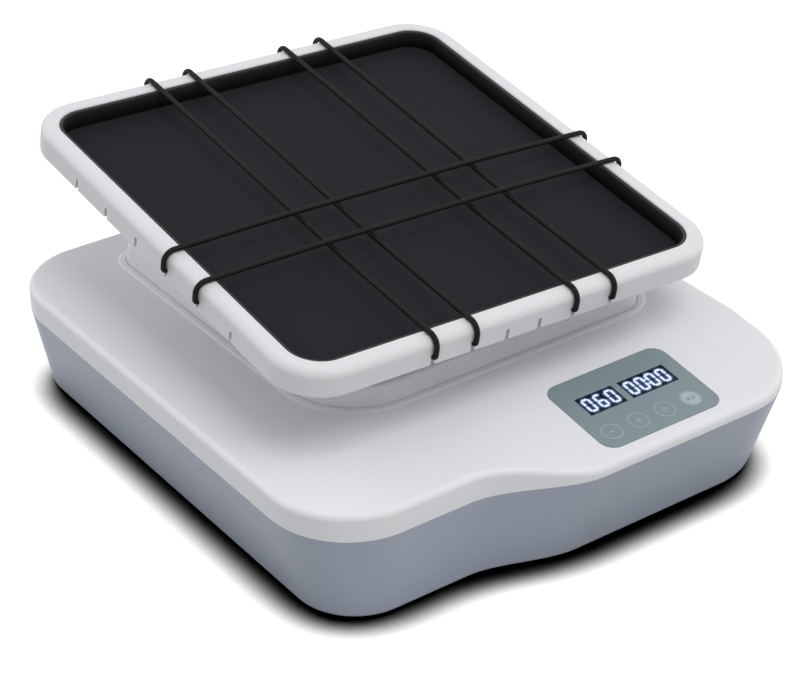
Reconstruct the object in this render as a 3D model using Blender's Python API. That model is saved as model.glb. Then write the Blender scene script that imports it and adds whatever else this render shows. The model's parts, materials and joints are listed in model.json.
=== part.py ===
# Three-dimensional rocking shaker for the lab bench, as separate pieces at their real size.
# Frame: metres, +Z up, +X to the right of the control panel's user, +Y to the rear.
# The origin is the centre of the base on the bench. The tray stands as it does in its rest pose,
# leaning to the front and a little to the right.

import bpy
import bmesh
import math
from mathutils import Quaternion, Vector

mm = 0.001
degree = math.pi / 180.0

# Shared clearances
fit_gap = 0.3 * mm
seam_gap = 0.4 * mm
cut_overrun = 1.0 * mm

# Facets of the round pieces
fine_segments = 36
round_segments = 24
small_segments = 12
screw_segments = 10
corner_steps = 5
base_corner_steps = 6
wave_steps = 6
fillet_steps = 2
soft_corner_steps = 2
crease_angle = 35.0 * degree

# Base outline at the seam between the two shells
base_width = 292.0 * mm
base_depth = 328.7 * mm
front_step = 20.6 * mm
wave_start_x = -62.0 * mm
wave_end_x = 4.0 * mm
front_left_radius = 44.0 * mm
front_right_radius = 45.0 * mm
rear_radius = 40.0 * mm

# How far the foot of the lower shell is drawn in from the seam
side_taper = 8.3 * mm
front_left_taper = 1.8 * mm
front_right_taper = 8.8 * mm
rear_taper = 4.6 * mm
wave_end_taper = 9.0 * mm
front_left_foot_radius = 33.0 * mm
front_right_foot_radius = 48.0 * mm
rear_foot_radius = 37.0 * mm

# Heights of the base
foot_stand = 1.5 * mm
seam_height = 46.2 * mm
cover_height = 14.6 * mm
deck_front_drop = 8.8 * mm
deck_ramp_length = 64.3 * mm

# Walls of the shells
shell_wall = 2.5 * mm
shell_floor = 2.5 * mm
cover_wall = 2.5 * mm
deck_thickness = 2.5 * mm
lip_wall = 1.2 * mm
lip_height = 2.4 * mm
lip_root_depth = 5.0 * mm
lip_blend = 2.5 * mm

# Feet
foot_radius = 8.0 * mm
foot_height = 2.4 * mm
foot_recess_depth = 1.2 * mm
foot_edge_distance = 32.0 * mm

# Case screws, which come up from below through the lower shell into posts of the cover
case_screw_side_distance = 26.0 * mm
case_screw_front_distance = 78.2 * mm
case_screw_rear_distance = 62.5 * mm
case_boss_radius = 6.5 * mm
case_boss_height = 16.0 * mm
case_post_radius = 5.5 * mm
case_screw_head_radius = 3.6 * mm
case_screw_head_height = 2.4 * mm
case_screw_head_recess = 4.0 * mm
case_screw_radius = 2.0 * mm
case_screw_length = 28.0 * mm

# Steel chassis plate with its screws
chassis_side_distance = 38.0 * mm
chassis_front_distance = 120.2 * mm
chassis_rear_distance = 32.5 * mm
chassis_thickness = 3.0 * mm
chassis_corner_radius = 8.0 * mm
chassis_standoff_height = 4.0 * mm
chassis_standoff_radius = 6.0 * mm
chassis_screw_inset = 10.0 * mm
chassis_screw_radius = 1.75 * mm
chassis_screw_head_radius = 3.4 * mm
chassis_screw_head_height = 2.2 * mm
chassis_screw_length = 8.0 * mm

# Drive axis, a little in front of the middle of the drive housing
spindle_x = -0.8 * mm
spindle_forward_shift = 2.75 * mm
pivot_rise = 14.1 * mm
tray_tilt = 8.32 * degree
lean_azimuth = -72.1 * degree

# Spindle, its housing and its bearings
spindle_radius = 7.5 * mm
spindle_foot_clearance = 2.0 * mm
spindle_bearing_outer_radius = 16.0 * mm
spindle_bearing_width = 9.0 * mm
housing_tube_wall = 4.0 * mm
housing_flange_radius = 36.0 * mm
housing_flange_thickness = 5.0 * mm
bearing_shoulder = 3.0 * mm
bearing_end_inset = 1.0 * mm
crank_head_radius = 18.0 * mm
crank_running_gap = 0.6 * mm

# Inclined stub on the crank head, with the hub's bearings
stub_radius = 6.0 * mm
stub_shoulder_radius = 8.0 * mm
stub_length = 20.0 * mm
hub_bearing_outer_radius = 14.0 * mm
hub_bearing_width = 8.0 * mm
hub_bearing_spacing = 14.0 * mm
stub_nut_radius = 9.5 * mm
stub_nut_height = 1.6 * mm
hub_tube_wall = 4.7 * mm
hub_foot_wall = 1.7 * mm
hub_foot_bore_radius = 10.0 * mm
hub_flange_radius = 42.0 * mm
hub_flange_thickness = 4.0 * mm

# Belt drive
belt_thickness = 1.5 * mm
belt_width = 8.0 * mm
large_pulley_radius = 43.0 * mm
small_pulley_radius = 10.75 * mm
pulley_rim_height = 3.0 * mm
pulley_rim_thickness = 1.0 * mm
pulley_clearance = 1.7 * mm
motor_distance = 70.0 * mm

# Counterweight on the large pulley, opposite to the lean
counterweight_inner_radius = 20.0 * mm
counterweight_outer_radius = 42.0 * mm
counterweight_thickness = 5.5 * mm
counterweight_clearance = 2.9 * mm
counterweight_steps = 16

# Motor
motor_radius = 21.0 * mm
motor_pulley_clearance = 6.3 * mm
motor_floor_clearance = 2.9 * mm
motor_shaft_radius = 2.5 * mm
motor_shaft_seat_depth = 12.0 * mm
motor_bracket_width = 58.0 * mm
motor_bracket_depth = 50.0 * mm
motor_bracket_thickness = 2.5 * mm

# Guide that keeps the tray from turning
guide_radius = 62.0 * mm
guide_pin_radius = 3.0 * mm
guide_pin_seat_depth = 14.0 * mm
guide_pin_rise = 12.3 * mm
guide_side_clearance = 0.8 * mm
guide_block_width = 30.0 * mm
guide_block_depth = 12.0 * mm
guide_block_clearance = 4.6 * mm
guide_foot_width = 40.0 * mm
guide_foot_depth = 28.0 * mm
guide_foot_thickness = 5.0 * mm
guide_arm_radius = 3.0 * mm
guide_arm_end_margin = 1.5 * mm
guide_arm_seat_depth = 4.2 * mm
guide_shoe_radius = 5.0 * mm
guide_shoe_length = 10.0 * mm

# Drive housing that stands on the deck
housing_left_distance = 57.4 * mm
housing_right_distance = 32.0 * mm
housing_front_distance = 94.7 * mm
housing_rear_distance = 25.5 * mm
housing_front_left_radius = 38.0 * mm
housing_front_right_radius = 18.0 * mm
housing_rear_radius = 12.0 * mm
housing_height = 11.0 * mm
housing_draft = 1.8 * mm
housing_top_thickness = 2.5 * mm
housing_plug_depth = 3.5 * mm
housing_plug_wall = 2.0 * mm
housing_edge_chamfer = 1.2 * mm
deck_opening_inset = 3.0 * mm
curb_width = 4.6 * mm
curb_height = 1.6 * mm
seal_lip_clearance = 0.8 * mm
seal_wall = 4.2 * mm
seal_flange_width = 3.0 * mm
seal_flange_thickness = 1.5 * mm

# Tray, in heights below its rim
rim_above_pivot = 43.8 * mm
tray_half_width = 131.5 * mm
tray_corner_radius = 27.0 * mm
tray_rim_width = 9.65 * mm
tray_wall = 2.0 * mm
tray_skirt_wall = 2.2 * mm
tray_skirt_depth = 14.4 * mm
tray_rim_thickness = 2.5 * mm
tray_outer_fillet = 4.0 * mm
tray_inner_fillet = 1.0 * mm
tray_floor_depth = 13.6 * mm
tray_floor_thickness = 2.5 * mm

# Notches in the tray's skirt
notch_width = 2.1 * mm
notch_top_depth = 8.8 * mm
side_notch_places = (14.6 * mm, 43.8 * mm, 73.0 * mm)
front_notch_places = (10.0 * mm, 31.0 * mm, 55.1 * mm)

# Liner and mat in the tray
liner_wall = 1.5 * mm
liner_floor = 1.0 * mm
liner_top_depth = 0.5 * mm
mat_thickness = 1.8 * mm

# Elastic bands
band_radius = 1.4 * mm
band_neck_radius = 0.75 * mm
band_back_radius = 1.15 * mm
band_bend_radius = 2.2 * mm
band_turn_radius = 1.5 * mm
band_neck_length = 2.3 * mm
band_crossing_shift = 1.6 * mm
band_bend_steps = 3
band_bevel_resolution = 2
band_bevel_unit = 1.0

# Support plate and its fasteners
plate_half_width = 90.0 * mm
plate_corner_radius = 15.0 * mm
plate_thickness = 2.5 * mm
hub_screw_circle_radius = 33.0 * mm
hub_screw_radius = 2.0 * mm
hub_screw_head_radius = 3.6 * mm
hub_screw_head_height = 2.4 * mm
tray_screw_place = 72.0 * mm
tray_screw_tip_margin = 0.4 * mm

# Control panel on the sloping part of the deck
panel_side_distance = 96.0 * mm
panel_front_distance = 34.4 * mm
panel_width = 75.4 * mm
panel_depth = 53.2 * mm
panel_corner_radius = 8.0 * mm
overlay_thickness = 0.5 * mm
window_y = 5.8 * mm
speed_window_x = -16.2 * mm
timer_window_x = 14.4 * mm
speed_display_width = 23.5 * mm
timer_display_width = 30.1 * mm
display_height = 14.0 * mm
display_body_depth = 7.0 * mm
board_width = 70.0 * mm
board_depth = 46.0 * mm
board_thickness = 1.6 * mm
board_post_radius = 2.5 * mm
board_post_inset = 4.0 * mm

# Power supply, inlet and switch
supply_depth = 84.0 * mm
supply_height = 26.0 * mm
supply_side_distance = 7.0 * mm
supply_housing_distance = 17.0 * mm
supply_rear_distance = 22.0 * mm
supply_corner_radius = 2.0 * mm
inlet_x = 62.0 * mm
inlet_height = 16.5 * mm
inlet_flange_width = 31.0 * mm
inlet_flange_height = 25.0 * mm
inlet_body_width = 27.0 * mm
inlet_body_height = 20.0 * mm
inlet_flange_thickness = 1.4 * mm
inlet_body_depth = 20.0 * mm
inlet_socket_width = 23.4 * mm
inlet_socket_height = 15.8 * mm
inlet_socket_depth = 15.5 * mm
inlet_corner_radius = 2.5 * mm
inlet_pin_pitch = 7.0 * mm
inlet_pin_width = 2.0 * mm
inlet_pin_height = 4.0 * mm
inlet_pin_offset = 2.0 * mm
inlet_pin_recess = 5.5 * mm
switch_x = 24.0 * mm
switch_flange_width = 15.0 * mm
switch_flange_height = 21.0 * mm
switch_body_width = 12.4 * mm
switch_body_height = 18.6 * mm
switch_body_depth = 14.0 * mm
switch_pocket_width = 9.0 * mm
switch_pocket_height = 14.4 * mm
switch_pocket_depth = 8.0 * mm
switch_corner_radius = 1.5 * mm
rocker_width = 8.2 * mm
rocker_half_length = 6.0 * mm
rocker_foot_half_length = 5.0 * mm
rocker_pivot_depth = 2.0 * mm
rocker_crown = 2.2 * mm
rocker_dip = 1.3 * mm
rocker_foot_depth = 1.8 * mm
rocker_rest_angle = 10.0 * degree

# Places worked out from the base's outline
front_edge = -base_depth / 2.0
rear_edge = base_depth / 2.0
side_edge = base_width / 2.0
deck_ramp_start_y = front_edge + deck_ramp_length
case_screw_x = side_edge - case_screw_side_distance
case_screw_front_y = front_edge + case_screw_front_distance
case_screw_rear_y = rear_edge - case_screw_rear_distance
chassis_side_x = side_edge - chassis_side_distance
chassis_front_y = front_edge + chassis_front_distance
chassis_rear_y = rear_edge - chassis_rear_distance
housing_left_x = -side_edge + housing_left_distance
housing_right_x = side_edge - housing_right_distance
housing_front_y = front_edge + housing_front_distance
housing_rear_y = rear_edge - housing_rear_distance
spindle_y = (housing_front_y + housing_rear_y) / 2.0 - spindle_forward_shift
panel_x = side_edge - panel_side_distance
panel_y = front_edge + panel_front_distance
supply_left_x = -chassis_side_x + supply_side_distance
supply_right_x = spindle_x - housing_flange_radius - supply_housing_distance
supply_rear_y = chassis_rear_y - supply_rear_distance

# Heights worked out from the floor up and from the deck down
deck_height = seam_height + cover_height
shell_bottom = foot_stand
floor_top = shell_bottom + shell_floor
chassis_bottom = floor_top + chassis_standoff_height + fit_gap
chassis_top = chassis_bottom + chassis_thickness
housing_foot = chassis_top + fit_gap
housing_bore_radius = spindle_bearing_outer_radius + fit_gap
housing_tube_radius = housing_bore_radius + housing_tube_wall
deck_underside = deck_height - deck_thickness
housing_top = deck_height + fit_gap + housing_height
housing_ceiling = housing_top - housing_top_thickness
pivot_height = housing_top + pivot_rise
crank_head_bottom = housing_ceiling - counterweight_clearance - counterweight_thickness
pulley_width = belt_width + 2.0 * (fit_gap + pulley_rim_thickness)
pulley_top = crank_head_bottom - fit_gap
pulley_bottom = pulley_top - pulley_width
housing_tube_top = pulley_bottom - pulley_clearance
motor_top = pulley_bottom - motor_pulley_clearance - motor_bracket_thickness - fit_gap
guide_block_top = housing_ceiling - guide_block_clearance
guide_pin_top = pivot_height + guide_pin_rise
hub_bearing_bottom = -hub_bearing_width / 2.0
hub_bearing_top = hub_bearing_bottom + hub_bearing_spacing
hub_bore_radius = hub_bearing_outer_radius + fit_gap
hub_tube_radius = hub_bore_radius + hub_tube_wall
hub_foot = hub_bearing_bottom - fit_gap - hub_foot_wall
crank_face = hub_foot - crank_running_gap
tray_underside = rim_above_pivot - tray_floor_depth - tray_floor_thickness
plate_top = tray_underside - fit_gap
plate_bottom = plate_top - plate_thickness
hub_flange_top = plate_bottom - fit_gap
hub_flange_bottom = hub_flange_top - hub_flange_thickness
deck_slope = math.atan2(deck_front_drop, deck_ramp_length)
rear_wall_slope = math.atan2(rear_taper, seam_height - shell_bottom)


# Scene, materials and mesh tools

def clear_scene():
    for thing in list(bpy.data.objects):
        bpy.data.objects.remove(thing, do_unlink=True)


def make_finish(name, colour, roughness, metallic=0.0):
    finish = bpy.data.materials.new(name)
    finish.use_nodes = True
    shader = finish.node_tree.nodes['Principled BSDF']
    shader.inputs['Base Color'].default_value = (*colour, 1.0)
    shader.inputs['Roughness'].default_value = roughness
    shader.inputs['Metallic'].default_value = metallic
    return finish


def make_finishes():
    return {
        'white_shell': make_finish('white_shell', (0.74, 0.75, 0.77), 0.42),
        'grey_shell': make_finish('grey_shell', (0.21, 0.24, 0.29), 0.45),
        'panel_film': make_finish('panel_film', (0.18, 0.24, 0.26), 0.35),
        'display': make_finish('display', (0.01, 0.015, 0.04), 0.15),
        'black_gloss': make_finish('black_gloss', (0.012, 0.012, 0.014), 0.15),
        'black_mat': make_finish('black_mat', (0.016, 0.017, 0.02), 0.7),
        'black_plastic': make_finish('black_plastic', (0.02, 0.02, 0.02), 0.4),
        'motor_black': make_finish('motor_black', (0.03, 0.03, 0.032), 0.4),
        'band_rubber': make_finish('band_rubber', (0.01, 0.01, 0.01), 0.55),
        'foot_rubber': make_finish('foot_rubber', (0.03, 0.03, 0.03), 0.8),
        'steel': make_finish('steel', (0.55, 0.56, 0.57), 0.3, 1.0),
        'aluminium': make_finish('aluminium', (0.72, 0.73, 0.74), 0.35, 1.0),
        'bearing_steel': make_finish('bearing_steel', (0.6, 0.61, 0.63), 0.2, 1.0),
        'board_green': make_finish('board_green', (0.02, 0.16, 0.07), 0.4),
        'nylon': make_finish('nylon', (0.8, 0.78, 0.7), 0.5),
    }


def add_frame(name, location, rotation=None, parent=None):
    frame = bpy.data.objects.new(name, None)
    bpy.context.collection.objects.link(frame)
    frame.location = location
    if rotation is not None:
        frame.rotation_mode = 'QUATERNION'
        frame.rotation_quaternion = rotation
    frame.parent = parent
    return frame


def add_piece(name, mesh_builder, finish, frame=None):
    bmesh.ops.recalc_face_normals(mesh_builder, faces=mesh_builder.faces)
    mesh = bpy.data.meshes.new(name)
    mesh_builder.to_mesh(mesh)
    mesh_builder.free()
    mesh.materials.append(finish)
    mesh.shade_smooth()
    mesh.set_sharp_from_angle(angle=crease_angle)
    piece = bpy.data.objects.new(name, mesh)
    bpy.context.collection.objects.link(piece)
    piece.parent = frame
    return piece


def add_helper(name, mesh_builder, frame=None):
    bmesh.ops.recalc_face_normals(mesh_builder, faces=mesh_builder.faces)
    bmesh.ops.triangulate(mesh_builder, faces=mesh_builder.faces)
    mesh = bpy.data.meshes.new(name)
    mesh_builder.to_mesh(mesh)
    mesh_builder.free()
    helper = bpy.data.objects.new(name, mesh)
    bpy.context.collection.objects.link(helper)
    helper.parent = frame
    helper.hide_render = True
    helper.display_type = 'WIRE'
    return helper


def combine(piece, helper, operation):
    step = piece.modifiers.new(helper.name, 'BOOLEAN')
    step.operation = operation
    step.solver = 'EXACT'
    step.object = helper


def cut(piece, helper):
    combine(piece, helper, 'DIFFERENCE')


def fuse(piece, helper):
    combine(piece, helper, 'UNION')


# Outlines are lists of (x, y), rings are lists of (x, y, z)

def arc(centre, radius, start, end, steps):
    points = []
    for step in range(steps + 1):
        angle = start + (end - start) * step / steps
        points.append((centre[0] + radius * math.cos(angle), centre[1] + radius * math.sin(angle)))
    return points


def circle(radius, segments, centre=(0.0, 0.0)):
    return arc(centre, radius, 0.0, 2.0 * math.pi, segments)[:-1]


def rounded_outline(left, right, front, rear, near, far, steps=corner_steps, near_right=None):
    # near and far are the radii of the two front and the two rear corners, and near_right is that of
    # the front right corner where it has its own
    quarter = math.pi / 2.0
    near_right = near if near_right is None else near_right
    points = arc((left + near, front + near), near, 2.0 * quarter, 3.0 * quarter, steps)
    points += arc((right - near_right, front + near_right), near_right, 3.0 * quarter, 4.0 * quarter, steps)
    points += arc((right - far, rear - far), far, 0.0, quarter, steps)
    points += arc((left + far, rear - far), far, quarter, 2.0 * quarter, steps)
    return points


def rounded_square(half_width, radius):
    return rounded_outline(-half_width, half_width, -half_width, half_width, radius, radius)


def rectangle(half_width, half_depth, centre=(0.0, 0.0)):
    x, y = centre
    return [(x - half_width, y - half_depth), (x + half_width, y - half_depth),
            (x + half_width, y + half_depth), (x - half_width, y + half_depth)]


def at_height(outline, z):
    return [(x, y, z) for x, y in outline]


def add_loft(mesh_builder, rings, closed=False):
    rows = [[mesh_builder.verts.new(point) for point in ring] for ring in rings]
    pairs = list(zip(rows, rows[1:]))
    if closed:
        pairs.append((rows[-1], rows[0]))
    for lower, upper in pairs:
        count = len(lower)
        for index in range(count):
            following = (index + 1) % count
            mesh_builder.faces.new((lower[index], lower[following], upper[following], upper[index]))
    if not closed:
        mesh_builder.faces.new(rows[0])
        mesh_builder.faces.new(rows[-1])
    return mesh_builder


def loft(rings, closed=False):
    return add_loft(bmesh.new(), rings, closed)


def prism(outline, bottom, top):
    return loft([at_height(outline, bottom), at_height(outline, top)])


def turned(profile, segments, closed=False, centre=(0.0, 0.0)):
    return loft([at_height(circle(radius, segments, centre), z) for radius, z in profile], closed)


def bush(inner_radius, outer_radius, bottom, top, segments):
    profile = ((inner_radius, bottom), (outer_radius, bottom), (outer_radius, top), (inner_radius, top))
    return turned(profile, segments, closed=True)


def stacked_cylinders(places, steps, segments):
    # One disjoint body at each place, each turned from (radius, height) steps
    mesh_builder = bmesh.new()
    for place in places:
        rings = [at_height(circle(radius, segments, place), z) for radius, z in steps]
        add_loft(mesh_builder, rings)
    return mesh_builder


# Base outline, from the foot of the lower shell (level 0) to the seam (level 1)

def base_outline(level, inset):
    drawn_in = 1.0 - level
    left = -side_edge + side_taper * drawn_in + inset
    right = side_edge - side_taper * drawn_in - inset
    rear = rear_edge - rear_taper * drawn_in - inset
    front_right = front_edge + front_right_taper * drawn_in + inset
    front_left = front_edge + front_step + front_left_taper * drawn_in + inset
    wave_end = wave_end_x - wave_end_taper * drawn_in
    radius_left = front_left_radius * level + front_left_foot_radius * drawn_in - inset
    radius_right = front_right_radius * level + front_right_foot_radius * drawn_in - inset
    radius_rear = rear_radius * level + rear_foot_radius * drawn_in - inset
    points = arc((left + radius_left, front_left + radius_left), radius_left,
                 math.pi, 1.5 * math.pi, base_corner_steps)
    for step in range(wave_steps + 1):
        along = step / wave_steps
        x = wave_start_x + (wave_end - wave_start_x) * along
        points.append((x, front_left + (front_right - front_left) * smooth_share(along)))
    points += arc((right - radius_right, front_right + radius_right), radius_right,
                  1.5 * math.pi, 2.0 * math.pi, base_corner_steps)
    points += arc((right - radius_rear, rear - radius_rear), radius_rear,
                  0.0, math.pi / 2.0, base_corner_steps)
    points += arc((left + radius_rear, rear - radius_rear), radius_rear,
                  math.pi / 2.0, math.pi, base_corner_steps)
    return points


def smooth_share(share):
    share = min(max(share, 0.0), 1.0)
    return share * share * (3.0 - 2.0 * share)


def shell_level(z):
    return (z - shell_bottom) / (seam_height - shell_bottom)


def deck_surface(x, y):
    wave = smooth_share((x - wave_start_x) / (wave_end_x - wave_start_x))
    ramp = max(0.0, (deck_ramp_start_y - y) / deck_ramp_length)
    return deck_height - deck_front_drop * wave * ramp


def space_above_deck(offset):
    # Solid whose underside follows the deck, moved down by the offset
    columns = [-side_edge - cut_overrun]
    for step in range(wave_steps + 1):
        columns.append(wave_start_x + (wave_end_x - wave_start_x) * step / wave_steps)
    columns.append(side_edge + cut_overrun)
    rows = [front_edge - cut_overrun, deck_ramp_start_y, rear_edge + cut_overrun]
    top = deck_height + deck_thickness + cut_overrun
    mesh_builder = bmesh.new()
    lower = [[mesh_builder.verts.new((x, y, deck_surface(x, y) - offset)) for x in columns] for y in rows]
    upper = [[mesh_builder.verts.new((x, y, top)) for x in columns] for y in rows]
    last_row = len(rows) - 1
    last_column = len(columns) - 1
    for sheet in (lower, upper):
        for row in range(last_row):
            for column in range(last_column):
                mesh_builder.faces.new((sheet[row][column], sheet[row][column + 1],
                                        sheet[row + 1][column + 1], sheet[row + 1][column]))
    for row in (0, last_row):
        for column in range(last_column):
            mesh_builder.faces.new((lower[row][column], lower[row][column + 1],
                                    upper[row][column + 1], upper[row][column]))
    for column in (0, last_column):
        for row in range(last_row):
            mesh_builder.faces.new((lower[row][column], lower[row + 1][column],
                                    upper[row + 1][column], upper[row][column]))
    return mesh_builder


# Places that more than one piece uses

def corner_places(half_width, half_depth, centre=(0.0, 0.0)):
    x, y = centre
    return [(x - half_width, y - half_depth), (x + half_width, y - half_depth),
            (x - half_width, y + half_depth), (x + half_width, y + half_depth)]


def foot_places():
    side = side_edge - foot_edge_distance
    front = front_edge + front_step + foot_edge_distance
    rear = rear_edge - foot_edge_distance
    return {'foot_front_left': (-side, front), 'foot_front_right': (side, front),
            'foot_rear_left': (-side, rear), 'foot_rear_right': (side, rear)}


def case_screw_places():
    return [(-case_screw_x, case_screw_front_y), (case_screw_x, case_screw_front_y),
            (-case_screw_x, case_screw_rear_y), (case_screw_x, case_screw_rear_y)]


def chassis_screw_places():
    half_width = chassis_side_x - chassis_screw_inset
    half_depth = (chassis_rear_y - chassis_front_y) / 2.0 - chassis_screw_inset
    return corner_places(half_width, half_depth, (0.0, (chassis_front_y + chassis_rear_y) / 2.0))


def housing_outline(inset):
    return rounded_outline(housing_left_x + inset, housing_right_x - inset,
                           housing_front_y + inset, housing_rear_y - inset,
                           housing_front_left_radius - inset, housing_rear_radius - inset,
                           near_right=housing_front_right_radius - inset)


# Lower shell, feet and case screws

def lower_shell(finishes, inlet_frame, switch_frame):
    wall_top = seam_height - seam_gap / 2.0
    lip_inner = cover_wall + fit_gap + lip_wall
    lip_outer = cover_wall + fit_gap
    lip_root = seam_height - lip_root_depth
    blend_foot = lip_root - lip_blend
    rings = [
        at_height(base_outline(shell_level(floor_top), shell_wall), floor_top),
        at_height(base_outline(shell_level(blend_foot), shell_wall), blend_foot),
        at_height(base_outline(shell_level(lip_root), lip_inner), lip_root),
        at_height(base_outline(1.0, lip_inner), seam_height + lip_height),
        at_height(base_outline(1.0, lip_outer), seam_height + lip_height),
        at_height(base_outline(1.0, lip_outer), wall_top),
        at_height(base_outline(shell_level(wall_top), 0.0), wall_top),
        at_height(base_outline(0.0, 0.0), shell_bottom),
    ]
    shell = add_piece('lower_shell', loft(rings), finishes['grey_shell'])
    sunk = floor_top - shell_floor / 2.0
    bosses = stacked_cylinders(case_screw_places(), (
        (case_boss_radius, sunk), (case_boss_radius, floor_top + case_boss_height)), small_segments)
    fuse(shell, add_helper('case_bosses', bosses))
    standoffs = stacked_cylinders(chassis_screw_places(), (
        (chassis_standoff_radius, sunk), (chassis_standoff_radius, floor_top + chassis_standoff_height)),
        small_segments)
    fuse(shell, add_helper('chassis_standoffs', standoffs))
    head_hole = case_screw_head_radius + fit_gap
    shank_hole = case_screw_radius + fit_gap
    head_seat = shell_bottom + case_screw_head_recess
    case_bores = stacked_cylinders(case_screw_places(), (
        (head_hole, shell_bottom - cut_overrun), (head_hole, head_seat), (shank_hole, head_seat),
        (shank_hole, floor_top + case_boss_height + cut_overrun)), screw_segments)
    cut(shell, add_helper('case_screw_bores', case_bores))
    chassis_bore_radius = chassis_screw_radius + fit_gap
    chassis_bores = stacked_cylinders(chassis_screw_places(), (
        (chassis_bore_radius, chassis_top - chassis_screw_length - fit_gap),
        (chassis_bore_radius, chassis_top)), screw_segments)
    cut(shell, add_helper('chassis_screw_bores', chassis_bores))
    foot_recesses = stacked_cylinders(foot_places().values(), (
        (foot_radius + fit_gap, shell_bottom - cut_overrun),
        (foot_radius + fit_gap, shell_bottom + foot_recess_depth)), small_segments)
    cut(shell, add_helper('foot_recesses', foot_recesses))
    wall_cut_depth = shell_wall * 2.0 + cut_overrun
    inlet_hole = prism(rectangle(inlet_body_width / 2.0 + fit_gap, inlet_body_height / 2.0 + fit_gap),
                       -wall_cut_depth, cut_overrun)
    cut(shell, add_helper('inlet_hole', inlet_hole, inlet_frame))
    switch_hole = prism(rectangle(switch_body_width / 2.0 + fit_gap, switch_body_height / 2.0 + fit_gap),
                        -wall_cut_depth, cut_overrun)
    cut(shell, add_helper('switch_hole', switch_hole, switch_frame))


def feet(finishes):
    foot_top = shell_bottom + foot_recess_depth - fit_gap
    foot_bottom = foot_top - foot_height
    for name, place in foot_places().items():
        mesh_builder = turned(((foot_radius, foot_bottom), (foot_radius, foot_top)),
                              small_segments, centre=place)
        add_piece(name, mesh_builder, finishes['foot_rubber'])


def case_screws(finishes):
    head_top = shell_bottom + case_screw_head_recess - fit_gap
    head_bottom = head_top - case_screw_head_height
    for number, place in enumerate(case_screw_places(), start=1):
        profile = ((case_screw_head_radius, head_bottom), (case_screw_head_radius, head_top),
                   (case_screw_radius, head_top), (case_screw_radius, head_top + case_screw_length))
        screw = turned(profile, screw_segments, centre=place)
        add_piece(f'case_screw_{number}', screw, finishes['steel'])


# Top cover

def top_cover(finishes, panel_frame):
    cover_bottom = seam_height + seam_gap / 2.0
    block = prism(base_outline(1.0, 0.0), cover_bottom, deck_height + cut_overrun)
    cover = add_piece('top_cover', block, finishes['white_shell'])
    cut(cover, add_helper('space_above_deck', space_above_deck(0.0)))
    cavity = add_helper('cover_cavity', prism(base_outline(1.0, cover_wall),
                                              cover_bottom - cut_overrun, deck_height))
    cut(cavity, add_helper('deck_solid', space_above_deck(deck_thickness)))
    cut(cover, cavity)
    opening = prism(housing_outline(deck_opening_inset),
                    deck_underside - cut_overrun, deck_height + cut_overrun)
    cut(cover, add_helper('deck_opening', opening))
    curb_sunk = deck_height - deck_thickness / 2.0
    curb_top = deck_height + curb_height
    curb_foot = housing_outline(-fit_gap)
    curb_rim = housing_outline(-fit_gap - curb_width)
    curb_crest = housing_outline(-fit_gap - curb_width + curb_height)
    curb = loft([at_height(curb_foot, curb_sunk), at_height(curb_rim, curb_sunk),
                 at_height(curb_rim, deck_height), at_height(curb_crest, curb_top),
                 at_height(curb_foot, curb_top)], closed=True)
    fuse(cover, add_helper('deck_curb', curb))
    post_foot = floor_top + case_boss_height + fit_gap
    post_top = deck_underside - deck_front_drop
    posts = stacked_cylinders(case_screw_places(), (
        (case_post_radius, post_foot), (case_post_radius, post_top)), small_segments)
    add_post_tops(posts)
    fuse(cover, add_helper('case_posts', posts))
    screw_tip = shell_bottom + case_screw_head_recess + case_screw_length
    bores = stacked_cylinders(case_screw_places(), (
        (case_screw_radius + fit_gap, post_foot - cut_overrun),
        (case_screw_radius + fit_gap, screw_tip + fit_gap)), screw_segments)
    cut(cover, add_helper('case_post_bores', bores))
    panel_openings(cover, panel_frame)


def add_post_tops(mesh_builder):
    # Each post's upper ring is carried up into the deck above it
    for vertex in mesh_builder.verts:
        if vertex.co.z > seam_height:
            vertex.co.z = deck_surface(vertex.co.x, vertex.co.y) - deck_thickness / 2.0


def panel_openings(cover, panel_frame):
    recess_depth = overlay_thickness + fit_gap
    recess = prism(rounded_outline(-panel_width / 2.0 - fit_gap, panel_width / 2.0 + fit_gap,
                                   -panel_depth / 2.0 - fit_gap, panel_depth / 2.0 + fit_gap,
                                   panel_corner_radius, panel_corner_radius),
                   -recess_depth, cut_overrun)
    post_top = -deck_thickness / 2.0
    post_foot = -recess_depth - display_body_depth
    posts = stacked_cylinders(board_post_places(), (
        (board_post_radius, post_foot), (board_post_radius, post_top)), small_segments)
    fuse(cover, add_helper('board_posts', posts, panel_frame))
    cut(cover, add_helper('panel_recess', recess, panel_frame))
    windows = bmesh.new()
    for place, width in ((speed_window_x, speed_display_width), (timer_window_x, timer_display_width)):
        outline = rectangle(width / 2.0 + fit_gap, display_height / 2.0 + fit_gap, (place, window_y))
        add_loft(windows, [at_height(outline, -recess_depth - deck_thickness * 2.0),
                           at_height(outline, cut_overrun)])
    cut(cover, add_helper('display_windows', windows, panel_frame))


def board_post_places():
    return corner_places(board_width / 2.0 - board_post_inset, board_depth / 2.0 - board_post_inset)


# Control panel pieces, in the frame of the sloping deck

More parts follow.
